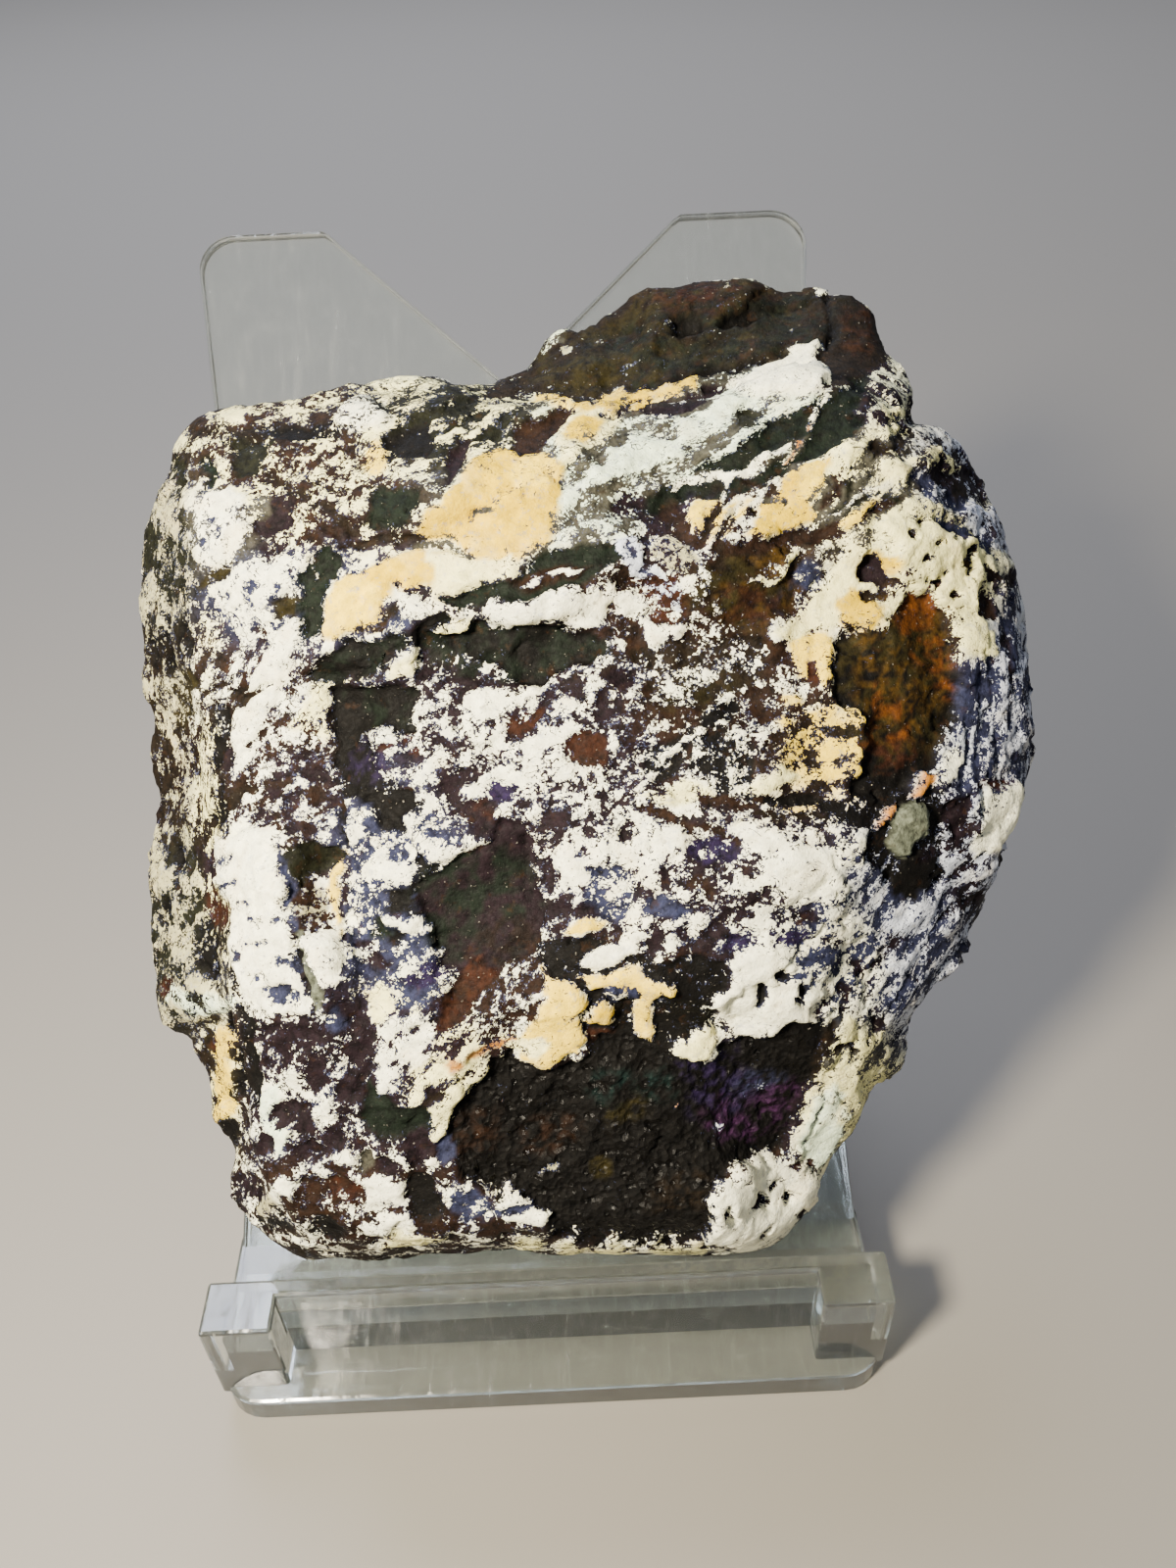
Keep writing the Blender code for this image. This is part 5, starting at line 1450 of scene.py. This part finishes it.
def rock_finish(tree, place, tint, glint, grit):
    """Bare rock: shaded grains, iron-brown clouds and, off the hollow, pale points, partly painted glints."""
    colour = shaded(tree, place, tint, 0.8, 0.3, 0.72, 0.10, 1.8)
    open_rock = add(tree, "ShaderNodeMath", {0: 1.0, 1: glint}, operation="SUBTRACT").outputs["Value"]
    clouds = add(tree, "ShaderNodeTexNoise", {"Vector": place, "Scale": 1.0 / (1.3 * MM), "Detail": 4.0,
                                              "Roughness": 0.6}).outputs["Fac"]
    clouds = add(tree, "ShaderNodeMapRange", {"Value": clouds, "From Min": 0.58, "From Max": 0.72,
                                              "To Max": 0.35}, interpolation_type="SMOOTHSTEP")
    iron = add(tree, "ShaderNodeMath", {0: clouds.outputs["Result"], 1: open_rock}, operation="MULTIPLY")
    colour = add(tree, "ShaderNodeMix", {0: iron.outputs["Value"], 6: colour, 7: linear("33200F")},
                 data_type="RGBA").outputs[2]
    # pale points: partly pale grains of the rock, partly painted glints of small crystals
    pale_specks_and_glints = add(tree, "ShaderNodeMapRange", {"Value": grit, "From Min": 0.67, "From Max": 0.75,
                                              "To Max": 0.4}, interpolation_type="SMOOTHSTEP")
    nearly_all = add(tree, "ShaderNodeMath", {0: open_rock, 1: 0.1}, operation="ADD").outputs["Value"]
    share = add(tree, "ShaderNodeMath", {0: pale_specks_and_glints.outputs["Result"], 1: nearly_all}, operation="MULTIPLY")
    return add(tree, "ShaderNodeMix", {0: share.outputs["Value"], 6: colour, 7: linear("A29D90")},
               data_type="RGBA").outputs[2]


def crust_finish(tree, place, tint):
    """Chalk: softly shaded, yellowed in wide clouds, with small grey and bluish spots."""
    colour = shaded(tree, place, tint, 0.9, 0.3, 0.7, 0.66, 1.12)
    for size_mm, detail, roughness, low, high, most, spot_colour in CRUST_SPOTS:
        spots = add(tree, "ShaderNodeTexNoise", {"Vector": place, "Scale": 1.0 / (size_mm * MM),
                                                 "Detail": detail, "Roughness": roughness})
        share = add(tree, "ShaderNodeMapRange", {"Value": spots.outputs["Fac"], "From Min": low,
                                                 "From Max": high, "To Max": most},
                    interpolation_type="SMOOTHSTEP")
        colour = add(tree, "ShaderNodeMix", {0: share.outputs["Result"], 6: colour, 7: linear(spot_colour)},
                     data_type="RGBA").outputs[2]
    return colour


print(len(CRUST_SPOTS), "kinds of spot in the crust")

# %% [markdown]
# One number, the edge, says how far a place is inside the crust. It is the coat kept on the mesh,
# made ragged by the patterns above, with dark cracks taken out and white veins put in. Just under
# zero the crust is a thin bluish film, and just over zero it is thick.

# %% Crust and rock
# size in mm, width, shift in mm and strength: two nets of dark cracks, then white veins
HAIRLINES = [(1.7, 0.020, 17.0, -0.75), (0.9, 0.030, 63.0, -0.60), (2.1, 0.016, 41.0, 0.50)]
# the seams between streaks are dark too
SEAM_STRENGTH = -0.65
# the edge values over which the bluish film, and then the thick crust, comes in
FILM, THICK = (-0.30, 0.02), (0.0, 0.09)
# sizes in mm of the grit, the crystal faces and the low lumps
GRIT, FACET, LOW_LUMP = 0.35, 0.55, 1.6
# heights in mm of the crust's skin, the grit, the low lumps and the crystal faces
SKIN_HEIGHT, GRAIN_HEIGHT, LUMP_HEIGHT, FACET_HEIGHT = 0.07, 0.08, 0.22, 0.22


def crandallite_on_rock():
    """Chalky phosphate crust, matt and grown in a skin, over fine-grained broken rock."""
    made, tree, shader = new_material("crandallite_crust_on_rock")
    shader.inputs["Specular IOR Level"].default_value = 0.10
    place = add(tree, "ShaderNodeTexCoord").outputs["Object"]
    read = {name: add(tree, "ShaderNodeAttribute", attribute_name=name) for name in
            ("coat", "speckle", "glint", "streaks", "rock_tint", "crust_tint")}
    glint = read["glint"].outputs["Fac"]

    pattern, seams = torn_pattern(tree, place, read["streaks"].outputs["Color"])
    broken = chipped(tree, place, pattern)
    edge = add(tree, "ShaderNodeMath", {0: broken, 1: read["speckle"].outputs["Fac"],
                                        2: read["coat"].outputs["Fac"]},
               operation="MULTIPLY_ADD").outputs["Value"]
    edge = add(tree, "ShaderNodeMath", {0: seams, 1: SEAM_STRENGTH, 2: edge},
               operation="MULTIPLY_ADD").outputs["Value"]
    for size_mm, width, shift, strength in HAIRLINES:
        line = hairline(tree, place, size_mm, width, shift)
        edge = add(tree, "ShaderNodeMath", {0: line, 1: strength, 2: edge},
                   operation="MULTIPLY_ADD").outputs["Value"]
    film = add(tree, "ShaderNodeMapRange", {"Value": edge, "From Min": FILM[0], "From Max": FILM[1]},
               interpolation_type="SMOOTHSTEP").outputs["Result"]
    thick = add(tree, "ShaderNodeMapRange", {"Value": edge, "From Min": THICK[0], "From Max": THICK[1]},
                interpolation_type="SMOOTHSTEP").outputs["Result"]

    grit = add(tree, "ShaderNodeTexNoise", {"Vector": place, "Scale": 1.0 / (GRIT * MM), "Detail": 3.0,
                                            "Roughness": 0.6}).outputs["Fac"]
    rock_colour = rock_finish(tree, place, read["rock_tint"].outputs["Color"], glint, grit)
    crust_colour = crust_finish(tree, place, read["crust_tint"].outputs["Color"])
    haze = add(tree, "ShaderNodeMath", {0: film, 1: film}, operation="MULTIPLY").outputs["Value"]
    haze = add(tree, "ShaderNodeMath", {0: haze, 1: 0.60}, operation="MULTIPLY").outputs["Value"]
    colour = add(tree, "ShaderNodeMix", {0: haze, 6: rock_colour, 7: linear("4C5478")}, data_type="RGBA")
    colour = add(tree, "ShaderNodeMix", {0: thick, 6: colour.outputs[2], 7: crust_colour}, data_type="RGBA")
    tree.links.new(colour.outputs[2], shader.inputs["Base Color"])

    cells = add(tree, "ShaderNodeTexVoronoi", {"Vector": place, "Scale": 1.0 / (FACET * MM)})
    spark = add(tree, "ShaderNodeMapRange", {"Value": cells.outputs["Color"], "From Min": 0.55,
                                             "From Max": 0.85, "To Min": 0.80, "To Max": 0.25})
    dull = add(tree, "ShaderNodeMapRange", {"Value": grit, "From Min": 0.3, "From Max": 0.7,
                                            "To Min": 0.60, "To Max": 0.85})
    chalk = add(tree, "ShaderNodeMapRange", {"Value": grit, "From Min": 0.3, "From Max": 0.7,
                                             "To Min": 0.70, "To Max": 0.85})
    rock_rough = add(tree, "ShaderNodeMix", {0: glint, 6: dull.outputs["Result"],
                                             7: spark.outputs["Result"]}, data_type="RGBA")
    rough = add(tree, "ShaderNodeMix", {0: thick, 6: rock_rough.outputs[2], 7: chalk.outputs["Result"]},
                data_type="RGBA")
    tree.links.new(rough.outputs[2], shader.inputs["Roughness"])

    lumps = add(tree, "ShaderNodeTexNoise", {"Vector": place, "Scale": 1.0 / (LOW_LUMP * MM), "Detail": 5.0,
                                             "Roughness": 0.72}).outputs["Fac"]
    facets = add(tree, "ShaderNodeMath", {0: cells.outputs["Distance"], 1: glint}, operation="MULTIPLY")
    relief = 0.0
    for value, rise in ((thick, SKIN_HEIGHT), (grit, GRAIN_HEIGHT), (lumps, LUMP_HEIGHT),
                        (facets.outputs["Value"], FACET_HEIGHT)):
        relief = add(tree, "ShaderNodeMath", {0: value, 1: rise, 2: relief},
                     operation="MULTIPLY_ADD").outputs["Value"]
    bump = add(tree, "ShaderNodeBump", {"Height": relief, "Distance": MM, "Strength": 1.0})
    tree.links.new(bump.outputs["Normal"], shader.inputs["Normal"])
    return made


block.data.materials.clear()
block.data.materials.append(crandallite_on_rock())
for face in block.data.polygons:
    face.use_smooth = True
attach(block, "root")
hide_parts("crandallite_specimen")
print("specimen finished with", len(block.data.materials[0].node_tree.nodes), "nodes")

# %% [markdown]
# ## The easel
# Such easels are injection-moulded in clear polystyrene: glossy, faintly grey-green through a thick
# edge, and scuffed on top from use. Light goes through, so the finish is transmission with the
# plastic's index of 1.59, and the tint is absorption inside it.

# %% Clear polystyrene
def clear_polystyrene():
    """Moulded clear polystyrene: bright edges, fine scuffs, a grey-green cast where it is deep."""
    made, tree, shader = new_material("clear_moulded_polystyrene")
    place = add(tree, "ShaderNodeTexCoord").outputs["Object"]
    shader.inputs["Base Color"].default_value = linear("E6EBE8")
    shader.inputs["Transmission Weight"].default_value = 0.97
    shader.inputs["IOR"].default_value = 1.59
    cloudy = add(tree, "ShaderNodeTexNoise", {"Vector": place, "Scale": 1.0 / (2.5 * MM), "Detail": 5.0,
                                              "Roughness": 0.7})
    drawn = add(tree, "ShaderNodeMapping", {"Vector": place, "Scale": (1.0, 9.0, 9.0)},
                vector_type="TEXTURE")
    rubbed = add(tree, "ShaderNodeTexNoise", {"Vector": drawn.outputs["Vector"], "Scale": 1.0 / (0.7 * MM),
                                              "Detail": 4.0, "Roughness": 0.6})
    worn = add(tree, "ShaderNodeMath", {0: cloudy.outputs["Fac"], 1: rubbed.outputs["Fac"]},
               operation="MAXIMUM")
    scuffed = add(tree, "ShaderNodeMapRange", {"Value": worn.outputs["Value"], "From Min": 0.48,
                                               "From Max": 0.74, "To Min": 0.03, "To Max": 0.28})
    tree.links.new(scuffed.outputs["Result"], shader.inputs["Roughness"])
    fine = add(tree, "ShaderNodeTexNoise", {"Vector": place, "Scale": 1.0 / (6.0 * MM), "Detail": 2.0})
    ripple = add(tree, "ShaderNodeBump", {"Height": fine.outputs["Fac"], "Distance": 0.08 * MM,
                                          "Strength": 1.0})
    tree.links.new(ripple.outputs["Normal"], shader.inputs["Normal"])
    absorb = add(tree, "ShaderNodeVolumeAbsorption", {"Color": linear("CDD6D0"), "Density": 24.0})
    tree.links.new(absorb.outputs["Volume"], tree.nodes["Material Output"].inputs["Volume"])
    return made


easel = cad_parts["display_easel"]
easel.data.materials.clear()
easel.data.materials.append(clear_polystyrene())
print("easel:", len(easel.data.polygons), "faces")
